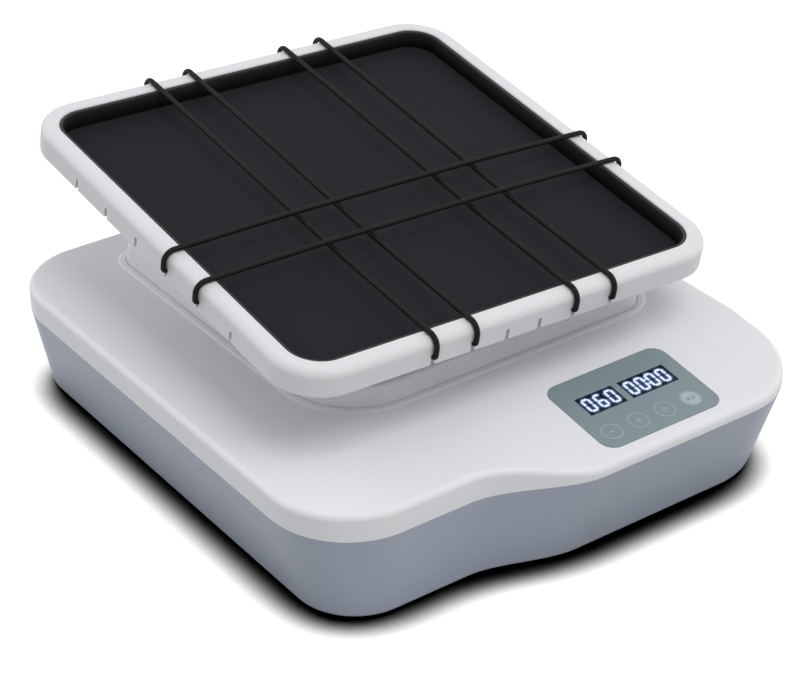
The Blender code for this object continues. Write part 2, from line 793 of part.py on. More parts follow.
def control_panel(finishes, panel_frame):
    overlay = prism(rounded_outline(-panel_width / 2.0, panel_width / 2.0,
                                    -panel_depth / 2.0, panel_depth / 2.0,
                                    panel_corner_radius, panel_corner_radius),
                    -overlay_thickness, 0.0)
    add_piece('control_overlay', overlay, finishes['panel_film'], panel_frame)
    display_top = -overlay_thickness - fit_gap
    display_bottom = display_top - display_body_depth
    for name, place, width in (('speed_display', speed_window_x, speed_display_width),
                               ('timer_display', timer_window_x, timer_display_width)):
        body = prism(rectangle(width / 2.0, display_height / 2.0, (place, window_y)),
                     display_bottom, display_top)
        add_piece(name, body, finishes['display'], panel_frame)
    board_top = display_bottom - fit_gap
    board = prism(rectangle(board_width / 2.0, board_depth / 2.0), board_top - board_thickness, board_top)
    add_piece('control_board', board, finishes['board_green'], panel_frame)


# Chassis with what stands on it

def chassis(finishes):
    outline = rounded_outline(-chassis_side_x, chassis_side_x, chassis_front_y, chassis_rear_y,
                              chassis_corner_radius, chassis_corner_radius)
    plate = add_piece('chassis_plate', prism(outline, chassis_bottom, chassis_top), finishes['steel'])
    hole_radius = chassis_screw_radius + fit_gap
    holes = stacked_cylinders(chassis_screw_places(), (
        (hole_radius, chassis_bottom - cut_overrun),
        (hole_radius, chassis_top + cut_overrun)), screw_segments)
    cut(plate, add_helper('chassis_plate_holes', holes))
    head_bottom = chassis_top + fit_gap
    head_top = head_bottom + chassis_screw_head_height
    for number, place in enumerate(chassis_screw_places(), start=1):
        profile = ((chassis_screw_radius, chassis_top - chassis_screw_length),
                   (chassis_screw_radius, head_bottom), (chassis_screw_head_radius, head_bottom),
                   (chassis_screw_head_radius, head_top))
        screw = turned(profile, screw_segments, centre=place)
        add_piece(f'chassis_screw_{number}', screw, finishes['steel'])


def spindle_housing(finishes, spindle_frame):
    lower_seat = housing_foot + bearing_end_inset
    lower_end = lower_seat + spindle_bearing_width + fit_gap
    upper_seat = housing_tube_top - bearing_end_inset - spindle_bearing_width - fit_gap
    shoulder_radius = housing_bore_radius - bearing_shoulder
    profile = (
        (housing_bore_radius, housing_foot), (housing_flange_radius, housing_foot),
        (housing_flange_radius, housing_foot + housing_flange_thickness),
        (housing_tube_radius, housing_foot + housing_flange_thickness),
        (housing_tube_radius, housing_tube_top), (housing_bore_radius, housing_tube_top),
        (housing_bore_radius, upper_seat), (shoulder_radius, upper_seat),
        (shoulder_radius, lower_end), (housing_bore_radius, lower_end))
    add_piece('spindle_housing', turned(profile, round_segments, closed=True),
              finishes['aluminium'], spindle_frame)
    for name, bottom in (('spindle_bearing_lower', lower_seat),
                         ('spindle_bearing_upper', upper_seat + fit_gap)):
        ring = bush(spindle_radius + fit_gap, spindle_bearing_outer_radius,
                    bottom, bottom + spindle_bearing_width, round_segments)
        add_piece(name, ring, finishes['bearing_steel'], spindle_frame)


def motor(finishes, motor_frame):
    motor_bottom = chassis_top + motor_floor_clearance
    bore_radius = motor_shaft_radius + fit_gap
    seat = motor_top - motor_shaft_seat_depth - fit_gap
    profile = ((motor_radius, motor_bottom), (motor_radius, motor_top),
               (bore_radius, motor_top), (bore_radius, seat))
    add_piece('motor_body', turned(profile, round_segments), finishes['motor_black'], motor_frame)
    plate_foot = motor_top + fit_gap
    bracket_top = plate_foot + motor_bracket_thickness
    outer = rectangle(motor_bracket_width / 2.0, motor_bracket_depth / 2.0)
    bracket = add_piece('motor_bracket', prism(outer, chassis_top + fit_gap, bracket_top),
                        finishes['steel'], motor_frame)
    inner = rectangle(motor_bracket_width / 2.0 - motor_bracket_thickness,
                      motor_bracket_depth / 2.0 + cut_overrun)
    space = prism(inner, chassis_top - cut_overrun, plate_foot)
    cut(bracket, add_helper('bracket_space', space, motor_frame))
    shaft_hole = turned(((bore_radius + fit_gap, plate_foot - cut_overrun),
                         (bore_radius + fit_gap, bracket_top + cut_overrun)), small_segments)
    cut(bracket, add_helper('bracket_shaft_hole', shaft_hole, motor_frame))
    shaft = turned(((motor_shaft_radius, seat + fit_gap), (motor_shaft_radius, pulley_top)), small_segments)
    add_piece('motor_shaft', shaft, finishes['steel'], motor_frame)
    add_piece('motor_pulley', pulley(motor_shaft_radius + fit_gap, small_pulley_radius, round_segments),
              finishes['aluminium'], motor_frame)


def pulley(bore_radius, groove_radius, segments):
    rim_radius = groove_radius + pulley_rim_height
    lower_groove = pulley_bottom + pulley_rim_thickness
    upper_groove = pulley_top - pulley_rim_thickness
    profile = ((bore_radius, pulley_bottom), (rim_radius, pulley_bottom), (rim_radius, lower_groove),
               (groove_radius, lower_groove), (groove_radius, upper_groove), (rim_radius, upper_groove),
               (rim_radius, pulley_top), (bore_radius, pulley_top))
    return turned(profile, segments, closed=True)


def belt_outline(standoff):
    # Hull of the two pulley circles: an arc round each, joined by their common tangents
    large = large_pulley_radius + standoff
    small = small_pulley_radius + standoff
    spread = math.acos((large - small) / motor_distance)
    points = arc((0.0, 0.0), large, spread, 2.0 * math.pi - spread, round_segments)
    points += arc((motor_distance, 0.0), small, -spread, spread, small_segments)
    return points


def drive_belt(finishes, spindle_frame):
    inner = belt_outline(fit_gap)
    outer = belt_outline(fit_gap + belt_thickness)
    bottom = pulley_bottom + pulley_rim_thickness + fit_gap
    top = bottom + belt_width
    belt = loft([at_height(inner, bottom), at_height(outer, bottom),
                 at_height(outer, top), at_height(inner, top)], closed=True)
    add_piece('drive_belt', belt, finishes['band_rubber'], spindle_frame)


def power_supply(finishes):
    outline = rounded_outline(supply_left_x, supply_right_x, supply_rear_y - supply_depth, supply_rear_y,
                              supply_corner_radius, supply_corner_radius, soft_corner_steps)
    supply = prism(outline, chassis_top + fit_gap, chassis_top + fit_gap + supply_height)
    add_piece('power_supply', supply, finishes['aluminium'])


def guide_pin_offset():
    return guide_shoe_radius + guide_side_clearance + guide_pin_radius


def guide_post(finishes, spindle_frame):
    foot_bottom = chassis_top + fit_gap
    foot_top = foot_bottom + guide_foot_thickness
    foot = rectangle(guide_foot_width / 2.0, guide_foot_depth / 2.0, (0.0, guide_radius))
    upright = rectangle(guide_block_width / 2.0, guide_block_depth / 2.0, (0.0, guide_radius))
    block = loft([at_height(foot, foot_bottom), at_height(foot, foot_top),
                  at_height(upright, foot_top), at_height(upright, guide_block_top)])
    post = add_piece('guide_block', block, finishes['aluminium'], spindle_frame)
    places = [(-guide_pin_offset(), guide_radius), (guide_pin_offset(), guide_radius)]
    seat = guide_block_top - guide_pin_seat_depth
    bores = stacked_cylinders(places, ((guide_pin_radius + fit_gap, seat - fit_gap),
                                       (guide_pin_radius + fit_gap, guide_block_top + cut_overrun)),
                              small_segments)
    cut(post, add_helper('guide_pin_bores', bores, spindle_frame))
    for name, place in zip(('guide_pin_left', 'guide_pin_right'), places):
        pin = turned(((guide_pin_radius, seat), (guide_pin_radius, guide_pin_top)),
                     small_segments, centre=place)
        add_piece(name, pin, finishes['steel'], spindle_frame)


# Drive housing on the deck, with the seal round the crank head

def drive_housing(finishes, spindle_frame):
    plug_outline_inset = deck_opening_inset + fit_gap
    inner_inset = plug_outline_inset + housing_plug_wall
    foot = deck_height + fit_gap
    shoulder = housing_top - housing_edge_chamfer
    side_draft = housing_draft * (1.0 - housing_edge_chamfer / housing_height)
    rings = [
        at_height(housing_outline(inner_inset), housing_ceiling),
        at_height(housing_outline(inner_inset), deck_height - housing_plug_depth),
        at_height(housing_outline(plug_outline_inset), deck_height - housing_plug_depth),
        at_height(housing_outline(plug_outline_inset), foot),
        at_height(housing_outline(0.0), foot),
        at_height(housing_outline(side_draft), shoulder),
        at_height(housing_outline(housing_draft + housing_edge_chamfer), housing_top),
    ]
    housing = add_piece('drive_housing', loft(rings), finishes['white_shell'])
    opening_radius = seal_outer_radius() + fit_gap
    opening = turned(((opening_radius, housing_ceiling - cut_overrun),
                      (opening_radius, housing_top + cut_overrun)), round_segments)
    cut(housing, add_helper('crank_opening', opening, spindle_frame))
    half_width = guide_pin_offset() + guide_pin_radius + guide_side_clearance
    half_depth = guide_pin_radius + guide_side_clearance
    slot = prism(rectangle(half_width, half_depth, (0.0, guide_radius)),
                 housing_ceiling - cut_overrun, housing_top + cut_overrun)
    cut(housing, add_helper('guide_slot', slot, spindle_frame))
    inner = crank_head_radius + seal_lip_clearance
    outer = seal_outer_radius()
    flange = outer + seal_flange_width
    flange_bottom = housing_top + fit_gap
    profile = ((inner, housing_ceiling), (outer, housing_ceiling), (outer, flange_bottom),
               (flange, flange_bottom), (flange, flange_bottom + seal_flange_thickness),
               (inner, flange_bottom + seal_flange_thickness))
    add_piece('spindle_seal', turned(profile, round_segments, closed=True),
              finishes['foot_rubber'], spindle_frame)


def seal_outer_radius():
    return crank_head_radius + seal_lip_clearance + seal_wall


# Crank: spindle with its inclined stub, large pulley, counterweight and nut

def tilt_rotation():
    axis = Vector((-math.sin(lean_azimuth), math.cos(lean_azimuth), 0.0))
    return Quaternion(axis, tray_tilt)


def tilted_ring(radius, height, segments):
    # Circle round the stub's axis, in the spindle's frame
    rotation = tilt_rotation()
    centre = Vector((0.0, 0.0, pivot_height))
    return [tuple(centre + rotation @ Vector((x, y, height))) for x, y in circle(radius, segments)]


def crank_head_rim():
    # Top edge of the head, where its cylinder meets the inclined face
    normal = tilt_rotation() @ Vector((0.0, 0.0, 1.0))
    points = []
    for x, y in circle(crank_head_radius, round_segments):
        z = pivot_height + (crank_face - normal.x * x - normal.y * y) / normal.z
        points.append((x, y, z))
    return points


def crank(finishes, spindle_frame):
    shoulder_top = hub_bearing_bottom - fit_gap
    rings = [
        at_height(circle(spindle_radius, round_segments), chassis_top + spindle_foot_clearance),
        at_height(circle(spindle_radius, round_segments), crank_head_bottom),
        at_height(circle(crank_head_radius, round_segments), crank_head_bottom),
        crank_head_rim(),
        tilted_ring(stub_shoulder_radius, crank_face, round_segments),
        tilted_ring(stub_shoulder_radius, shoulder_top, round_segments),
        tilted_ring(stub_radius, shoulder_top, round_segments),
        tilted_ring(stub_radius, stub_length, round_segments),
    ]
    add_piece('crank_spindle', loft(rings), finishes['steel'], spindle_frame)
    add_piece('large_pulley', pulley(spindle_radius + fit_gap, large_pulley_radius, fine_segments),
              finishes['aluminium'], spindle_frame)
    start = lean_azimuth + math.pi / 2.0
    outline = arc((0.0, 0.0), counterweight_outer_radius, start, start + math.pi, counterweight_steps)
    outline += arc((0.0, 0.0), counterweight_inner_radius, start + math.pi, start, counterweight_steps)
    bottom = pulley_top + fit_gap
    add_piece('counterweight', prism(outline, bottom, bottom + counterweight_thickness),
              finishes['steel'], spindle_frame)


def stub_nut(finishes, pivot_frame):
    bottom = hub_bearing_top + hub_bearing_width + fit_gap
    ring = bush(stub_radius + fit_gap, stub_nut_radius, bottom, bottom + stub_nut_height, small_segments)
    add_piece('stub_nut', ring, finishes['steel'], pivot_frame)


# Hub that rides on the stub and carries the tray

def hub(finishes, pivot_frame):
    shoulder_radius = hub_bore_radius - bearing_shoulder
    shoulder_bottom = hub_bearing_bottom + hub_bearing_width + fit_gap
    shoulder_top = hub_bearing_top - fit_gap
    profile = (
        (hub_foot_bore_radius, hub_foot), (hub_tube_radius, hub_foot),
        (hub_tube_radius, hub_flange_bottom), (hub_flange_radius, hub_flange_bottom),
        (hub_flange_radius, hub_flange_top), (hub_bore_radius, hub_flange_top),
        (hub_bore_radius, shoulder_top), (shoulder_radius, shoulder_top),
        (shoulder_radius, shoulder_bottom), (hub_bore_radius, shoulder_bottom),
        (hub_bore_radius, hub_foot + hub_foot_wall), (hub_foot_bore_radius, hub_foot + hub_foot_wall))
    body = add_piece('hub', turned(profile, round_segments, closed=True),
                     finishes['aluminium'], pivot_frame)
    screw_holes = stacked_cylinders(hub_screw_places(), (
        (hub_screw_radius + fit_gap, hub_flange_bottom - cut_overrun),
        (hub_screw_radius + fit_gap, hub_flange_top + cut_overrun)), screw_segments)
    cut(body, add_helper('hub_screw_holes', screw_holes, pivot_frame))
    seat_start = hub_tube_radius - guide_arm_seat_depth - fit_gap
    arm_hole = rod_along_y(guide_arm_radius + fit_gap, seat_start, hub_tube_radius + cut_overrun)
    cut(body, add_helper('guide_arm_hole', arm_hole, pivot_frame))
    for name, bottom in (('hub_bearing_lower', hub_bearing_bottom), ('hub_bearing_upper', hub_bearing_top)):
        ring = bush(stub_radius + fit_gap, hub_bearing_outer_radius,
                    bottom, bottom + hub_bearing_width, round_segments)
        add_piece(name, ring, finishes['bearing_steel'], pivot_frame)


def rod_along_y(radius, start, end):
    section = circle(radius, small_segments)
    return loft([[(x, start, z) for x, z in section], [(x, end, z) for x, z in section]])


def guide_arm(finishes, pivot_frame):
    start = hub_tube_radius - guide_arm_seat_depth
    end = guide_radius + guide_shoe_length / 2.0 + guide_arm_end_margin
    add_piece('guide_arm', rod_along_y(guide_arm_radius, start, end), finishes['steel'], pivot_frame)
    inner = circle(guide_arm_radius + fit_gap, small_segments)
    outer = circle(guide_shoe_radius, small_segments)
    near = guide_radius - guide_shoe_length / 2.0
    far = guide_radius + guide_shoe_length / 2.0
    shoe = loft([[(x, near, z) for x, z in inner], [(x, near, z) for x, z in outer],
                 [(x, far, z) for x, z in outer], [(x, far, z) for x, z in inner]], closed=True)
    add_piece('guide_shoe', shoe, finishes['nylon'], pivot_frame)


def hub_screw_places():
    reach = hub_screw_circle_radius / math.sqrt(2.0)
    return corner_places(reach, reach)


def support_plate(finishes, pivot_frame):
    plate = add_piece('support_plate', prism(rounded_square(plate_half_width, plate_corner_radius),
                                             plate_bottom, plate_top), finishes['aluminium'], pivot_frame)
    places = hub_screw_places() + corner_places(tray_screw_place, tray_screw_place)
    holes = stacked_cylinders(places, ((hub_screw_radius + fit_gap, plate_bottom - cut_overrun),
                                       (hub_screw_radius + fit_gap, plate_top + cut_overrun)),
                              screw_segments)
    cut(plate, add_helper('plate_holes', holes, pivot_frame))
    screw_set('hub_screw', hub_screw_places(), hub_flange_bottom, plate_top, finishes, pivot_frame)
    tray_tip = tray_underside + tray_floor_thickness - tray_screw_tip_margin
    screw_set('tray_screw', corner_places(tray_screw_place, tray_screw_place),
              plate_bottom, tray_tip, finishes, pivot_frame)


def screw_set(name, places, seat, tip, finishes, frame):
    head_top = seat - fit_gap
    head_bottom = head_top - hub_screw_head_height
    for number, place in enumerate(places, start=1):
        profile = ((hub_screw_head_radius, head_bottom), (hub_screw_head_radius, head_top),
                   (hub_screw_radius, head_top), (hub_screw_radius, tip))
        screw = turned(profile, screw_segments, centre=place)
        add_piece(f'{name}_{number}', screw, finishes['steel'], frame)


# Tray with its liner and mat, drawn from the rim inwards

def tray_ring(inset, depth):
    outline = rounded_square(tray_half_width - inset, tray_corner_radius - inset)
    return at_height(outline, rim_above_pivot - depth)


def rim_fillet(edge_inset, radius, start, end):
    # Quarter round over the rim's edge: inset of its centre, radius and the two angles
    rings = []
    for step in range(fillet_steps + 1):
        angle = start + (end - start) * step / fillet_steps
        rings.append(tray_ring(edge_inset - radius * math.cos(angle), radius - radius * math.sin(angle)))
    return rings


def tray(finishes, pivot_frame):
    rings = [tray_ring(tray_rim_width, tray_floor_depth)]
    rings += rim_fillet(tray_rim_width - tray_inner_fillet, tray_inner_fillet, math.pi, math.pi / 2.0)
    rings += rim_fillet(tray_outer_fillet, tray_outer_fillet, math.pi / 2.0, 0.0)
    wall_back = tray_rim_width - tray_wall
    rings += [
        tray_ring(0.0, tray_skirt_depth), tray_ring(tray_skirt_wall, tray_skirt_depth),
        tray_ring(tray_skirt_wall, tray_rim_thickness), tray_ring(wall_back, tray_rim_thickness),
        tray_ring(wall_back, tray_floor_depth + tray_floor_thickness),
    ]
    pan = add_piece('tray', loft(rings), finishes['white_shell'], pivot_frame)
    cut(pan, add_helper('notches', notches(), pivot_frame))
    holes = stacked_cylinders(corner_places(tray_screw_place, tray_screw_place), (
        (hub_screw_radius + fit_gap, tray_underside - cut_overrun),
        (hub_screw_radius + fit_gap, tray_underside + tray_floor_thickness + cut_overrun)), screw_segments)
    cut(pan, add_helper('tray_screw_holes', holes, pivot_frame))


def notches():
    mesh_builder = bmesh.new()
    centre = tray_half_width - tray_skirt_wall / 2.0
    reach = tray_skirt_wall / 2.0 + cut_overrun
    bottom = rim_above_pivot - tray_skirt_depth - cut_overrun
    top = rim_above_pivot - notch_top_depth
    outlines = []
    for side in (-1.0, 1.0):
        for direction in (-1.0, 1.0):
            for place in side_notch_places:
                outlines.append(rectangle(reach, notch_width / 2.0, (side * centre, direction * place)))
            for place in front_notch_places:
                outlines.append(rectangle(notch_width / 2.0, reach, (direction * place, side * centre)))
    for outline in outlines:
        add_loft(mesh_builder, [at_height(outline, bottom), at_height(outline, top)])
    return mesh_builder


def tray_lining(finishes, pivot_frame):
    outer = tray_rim_width + fit_gap
    inner = outer + liner_wall
    liner_underside = tray_floor_depth - fit_gap
    liner_top = liner_underside - liner_floor
    liner = loft([tray_ring(inner, liner_top), tray_ring(inner, liner_top_depth),
                  tray_ring(outer, liner_top_depth), tray_ring(outer, liner_underside)])
    add_piece('tray_liner', liner, finishes['black_gloss'], pivot_frame)
    mat_underside = liner_top - fit_gap
    mat = loft([tray_ring(inner + fit_gap, mat_underside),
                tray_ring(inner + fit_gap, mat_underside - mat_thickness)])
    add_piece('tray_mat', mat, finishes['black_mat'], pivot_frame)


# Elastic bands: each is one closed loop of two strands, hooked through two notches at each end.
# A point is (run, across, height, radius), run along the strands and across from strand to strand.

def hook_points(across, toward):
    # From the top of the rim, over its edge, through the notch and sideways behind the skirt
    points = []
    standoff = band_radius + fit_gap
    edge = tray_half_width - tray_outer_fillet
    rim_bend = tray_outer_fillet + standoff
    rim_low = rim_above_pivot - tray_outer_fillet
    for step in range(band_bend_steps + 1):
        angle = math.pi / 2.0 * (1.0 - step / band_bend_steps)
        points.append((edge + rim_bend * math.cos(angle), across,
                       rim_low + rim_bend * math.sin(angle), band_radius))
    face = tray_half_width + standoff
    neck_height = rim_above_pivot - notch_top_depth - fit_gap - band_neck_radius - fit_gap
    bend_start = neck_height + band_bend_radius
    points.append((face, across, bend_start + band_neck_length, band_radius))
    for step in range(band_bend_steps + 1):
        angle = math.pi / 2.0 * step / band_bend_steps
        points.append((face - band_bend_radius * (1.0 - math.cos(angle)), across,
                       bend_start - band_bend_radius * math.sin(angle), band_neck_radius))
    channel = tray_half_width - (tray_skirt_wall + tray_rim_width - tray_wall) / 2.0
    for step in range(band_bend_steps + 1):
        angle = math.pi / 2.0 * step / band_bend_steps
        share = step / band_bend_steps
        points.append((channel + band_turn_radius * (1.0 - math.sin(angle)),
                       across + toward * band_turn_radius * (1.0 - math.cos(angle)), neck_height,
                       band_neck_radius + (band_back_radius - band_neck_radius) * share * share))
    return points


def strand_points(across, toward, crossings, shift):
    # One strand from its front hook to its rear hook
    hook = hook_points(across, toward)
    top_height = rim_above_pivot + band_radius + fit_gap
    front = [(-run, side, height, radius) for run, side, height, radius in reversed(hook)]
    middle = [(run, across, top_height + shift, band_radius) for run in crossings]
    return front + middle + hook


def band(name, strands, crossings, shift, lengthwise, finishes, pivot_frame):
    first, second = strands
    points = strand_points(first, 1.0, crossings, shift)
    points += list(reversed(strand_points(second, -1.0, crossings, shift)))
    curve = bpy.data.curves.new(name, 'CURVE')
    curve.dimensions = '3D'
    curve.bevel_depth = band_bevel_unit
    curve.bevel_resolution = band_bevel_resolution
    curve.twist_mode = 'MINIMUM'
    spline = curve.splines.new('POLY')
    spline.points.add(len(points) - 1)
    spline.use_cyclic_u = True
    for target, (run, across, height, radius) in zip(spline.points, points):
        x, y = (across, run) if lengthwise else (run, across)
        target.co = (x, y, height, 1.0)
        target.radius = radius
    curve.materials.append(finishes['band_rubber'])
    piece = bpy.data.objects.new(name, curve)
    bpy.context.collection.objects.link(piece)
    piece.parent = pivot_frame


def bands(finishes, pivot_frame):
    inner_place = front_notch_places[1]
    outer_place = front_notch_places[2]
    cross_places = (-side_notch_places[1], -side_notch_places[0])
    reach = outer_place + band_radius
    band('band_left', (-outer_place, -inner_place), cross_places, -band_crossing_shift,
         True, finishes, pivot_frame)
    band('band_right', (inner_place, outer_place), cross_places, -band_crossing_shift,
         True, finishes, pivot_frame)
    band('band_cross', cross_places, (-reach, reach), band_crossing_shift, False, finishes, pivot_frame)


# Mains inlet and power switch in the rear wall

def wall_frame(name, x, z):
    depth = rear_edge - rear_taper * (1.0 - shell_level(z))
    facing_out = Quaternion((1.0, 0.0, 0.0), -math.pi / 2.0 - rear_wall_slope)
    return add_frame(name, (x, depth, z), facing_out)


def soft_rectangle(width, height, radius):
    return rounded_outline(-width / 2.0, width / 2.0, -height / 2.0, height / 2.0,
                           radius, radius, soft_corner_steps)


def socket_rings(flange, body, socket, radius, flange_thickness, body_depth, socket_depth):
    face = fit_gap + flange_thickness
    flange_outline = soft_rectangle(*flange, radius)
    body_outline = soft_rectangle(*body, radius)
    socket_outline = soft_rectangle(*socket, radius)
    return [at_height(socket_outline, face - socket_depth), at_height(socket_outline, face),
            at_height(flange_outline, face), at_height(flange_outline, fit_gap),
            at_height(body_outline, fit_gap), at_height(body_outline, face - body_depth)]


def power_inlet(finishes, inlet_frame):
    rings = socket_rings((inlet_flange_width, inlet_flange_height), (inlet_body_width, inlet_body_height),
                         (inlet_socket_width, inlet_socket_height), inlet_corner_radius,
                         inlet_flange_thickness, inlet_body_depth, inlet_socket_depth)
    inlet = add_piece('power_inlet', loft(rings), finishes['black_plastic'], inlet_frame)
    face = fit_gap + inlet_flange_thickness
    pins = bmesh.new()
    for place in ((-inlet_pin_pitch, inlet_pin_offset), (0.0, -inlet_pin_offset),
                  (inlet_pin_pitch, inlet_pin_offset)):
        outline = rectangle(inlet_pin_width / 2.0, inlet_pin_height / 2.0, place)
        add_loft(pins, [at_height(outline, face - inlet_socket_depth - cut_overrun),
                        at_height(outline, face - inlet_pin_recess)])
    fuse(inlet, add_helper('inlet_pins', pins, inlet_frame))


def power_switch(finishes, switch_frame):
    rings = socket_rings((switch_flange_width, switch_flange_height),
                         (switch_body_width, switch_body_height),
                         (switch_pocket_width, switch_pocket_height), switch_corner_radius,
                         inlet_flange_thickness, switch_body_depth, switch_pocket_depth)
    add_piece('power_switch_body', loft(rings), finishes['black_plastic'], switch_frame)
    pivot = (0.0, 0.0, fit_gap + inlet_flange_thickness - rocker_pivot_depth)
    rest = Quaternion((1.0, 0.0, 0.0), rocker_rest_angle)
    rocker_frame = add_frame('rocker_pivot', pivot, rest, switch_frame)
    side = [(-rocker_half_length, rocker_crown), (0.0, rocker_dip), (rocker_half_length, rocker_crown),
            (rocker_foot_half_length, -rocker_foot_depth), (-rocker_foot_half_length, -rocker_foot_depth)]
    rocker = loft([[(-rocker_width / 2.0, y, z) for y, z in side],
                   [(rocker_width / 2.0, y, z) for y, z in side]])
    add_piece('power_rocker', rocker, finishes['black_plastic'], rocker_frame)


def build():
    clear_scene()
    finishes = make_finishes()
    spindle_frame = add_frame('spindle_axis', (spindle_x, spindle_y, 0.0))
    motor_frame = add_frame('motor_axis', (spindle_x + motor_distance, spindle_y, 0.0))
    pivot_frame = add_frame('tray_pivot', (spindle_x, spindle_y, pivot_height), tilt_rotation())
    panel_frame = add_frame('panel_plane', (panel_x, panel_y, deck_surface(panel_x, panel_y)),
                            Quaternion((1.0, 0.0, 0.0), deck_slope))
    inlet_frame = wall_frame('inlet_plane', inlet_x, inlet_height)
    switch_frame = wall_frame('switch_plane', switch_x, inlet_height)
    lower_shell(finishes, inlet_frame, switch_frame)
    feet(finishes)
    case_screws(finishes)
    top_cover(finishes, panel_frame)
    control_panel(finishes, panel_frame)
    chassis(finishes)
    spindle_housing(finishes, spindle_frame)
    motor(finishes, motor_frame)
    drive_belt(finishes, spindle_frame)
    power_supply(finishes)
    guide_post(finishes, spindle_frame)
    drive_housing(finishes, spindle_frame)
    crank(finishes, spindle_frame)
    stub_nut(finishes, pivot_frame)
    hub(finishes, pivot_frame)
    guide_arm(finishes, pivot_frame)
    support_plate(finishes, pivot_frame)
    tray(finishes, pivot_frame)
    tray_lining(finishes, pivot_frame)
    bands(finishes, pivot_frame)
    power_inlet(finishes, inlet_frame)
    power_switch(finishes, switch_frame)


build()
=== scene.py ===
# Looks of a three-dimensional rocking shaker for the lab bench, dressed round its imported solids

import json
import math

import bmesh
import bpy
from mathutils import Matrix, Vector


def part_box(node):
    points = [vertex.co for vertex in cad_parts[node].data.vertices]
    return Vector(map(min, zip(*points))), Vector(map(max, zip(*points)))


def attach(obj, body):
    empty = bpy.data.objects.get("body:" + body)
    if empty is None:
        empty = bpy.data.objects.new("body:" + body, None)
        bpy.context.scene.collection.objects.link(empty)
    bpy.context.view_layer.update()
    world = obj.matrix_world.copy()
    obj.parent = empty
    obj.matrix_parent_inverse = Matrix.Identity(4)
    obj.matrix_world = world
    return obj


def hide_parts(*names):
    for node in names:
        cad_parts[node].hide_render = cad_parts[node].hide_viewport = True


mm = 0.001

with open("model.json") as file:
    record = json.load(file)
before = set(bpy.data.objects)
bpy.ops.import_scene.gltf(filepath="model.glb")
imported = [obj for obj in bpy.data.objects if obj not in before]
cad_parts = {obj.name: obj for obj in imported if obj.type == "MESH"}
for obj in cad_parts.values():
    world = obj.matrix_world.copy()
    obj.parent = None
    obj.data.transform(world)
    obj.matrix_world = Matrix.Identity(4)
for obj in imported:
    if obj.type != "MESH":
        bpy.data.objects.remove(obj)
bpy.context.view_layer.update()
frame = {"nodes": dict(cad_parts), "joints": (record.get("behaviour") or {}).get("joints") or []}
joints = {joint['name']: joint for joint in frame['joints']}
print('solids loaded')


def inMm(**sizes):
    # Sizes written in millimetres, kept in metres
    return {name: tuple(part * mm for part in size) if isinstance(size, tuple) else size * mm
            for name, size in sizes.items()}


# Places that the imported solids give

baseLow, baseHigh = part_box('lower_shell')
pivot = Vector(joints['tray_nutation']['pos_m'])
trayTurn = Vector((0, 0, 1)).rotation_difference(Vector(joints['tray_nutation']['axis']))
trayPlace = Matrix.Translation(pivot) @ trayTurn.to_matrix().to_4x4()
spindlePlace = Matrix.Translation((pivot.x, pivot.y, 0.0))

fitGap = 0.3 * mm
overrun = 1.0 * mm          # how far a cutter passes the face it cuts
quarter = math.pi / 2.0

baseForm = inMm(
    seamHeight=46.2, seamGap=0.12, deckHeight=60.8, frontDrop=8.8, rampLength=64.3, rampSoftness=3.0,
    frontStep=20.6, waveStart=-62.0, waveEnd=4.0, waveEndTaper=9.0,
    frontLeftRadius=44.0, frontRightRadius=45.0, rearRadius=40.0,
    frontLeftFootRadius=33.0, frontRightFootRadius=48.0, rearFootRadius=37.0,
    sideTaper=8.3, frontLeftTaper=1.8, frontRightTaper=8.8, rearTaper=4.6,
)

# Points along each stretch of the outline, the same for the base and the drive housing
outlineCounts = {'corner': 22, 'frontLeft': 10, 'wave': 34, 'frontRight': 22, 'side': 40, 'rear': 30}


def smoothShare(share):
    share = min(max(share, 0.0), 1.0)
    return share * share * (3.0 - 2.0 * share)


def deckHeight(x, y):
    form = baseForm
    wave = smoothShare((x - form['waveStart']) / (form['waveEnd'] - form['waveStart']))
    past = baseLow.y + form['rampLength'] - y
    eased = (past + math.hypot(past, form['rampSoftness'])) / 2.0      # no crease where the ramp starts
    return form['deckHeight'] - form['frontDrop'] * wave * eased / form['rampLength']


def cornerArc(centre, radius, turn):
    # From quarter turn 2 at the front left, 3 front right, 0 rear right, 1 rear left
    count = outlineCounts['corner']
    angles = [(turn + step / count) * quarter for step in range(count)]
    return [Vector((centre[0] + radius * math.cos(a), centre[1] + radius * math.sin(a))) for a in angles]


def straight(start, end, count):
    return [Vector(start).lerp(Vector(end), step / count) for step in range(count)]


def roundedBox(left, right, frontLeft, frontRight, rear, radii, front):
    # Radii are those of the front left, front right and rear corners, and front is the stretch between
    # the front corners
    near, far, back = radii
    counts = outlineCounts
    points = cornerArc((left + near, frontLeft + near), near, 2) + front
    points += cornerArc((right - far, frontRight + far), far, 3)
    points += straight((right, frontRight + far), (right, rear - back), counts['side'])
    points += cornerArc((right - back, rear - back), back, 0)
    points += straight((right - back, rear), (left + back, rear), counts['rear'])
    points += cornerArc((left + back, rear - back), back, 1)
    points += straight((left, rear - back), (left, frontLeft + near), counts['side'])
    return points


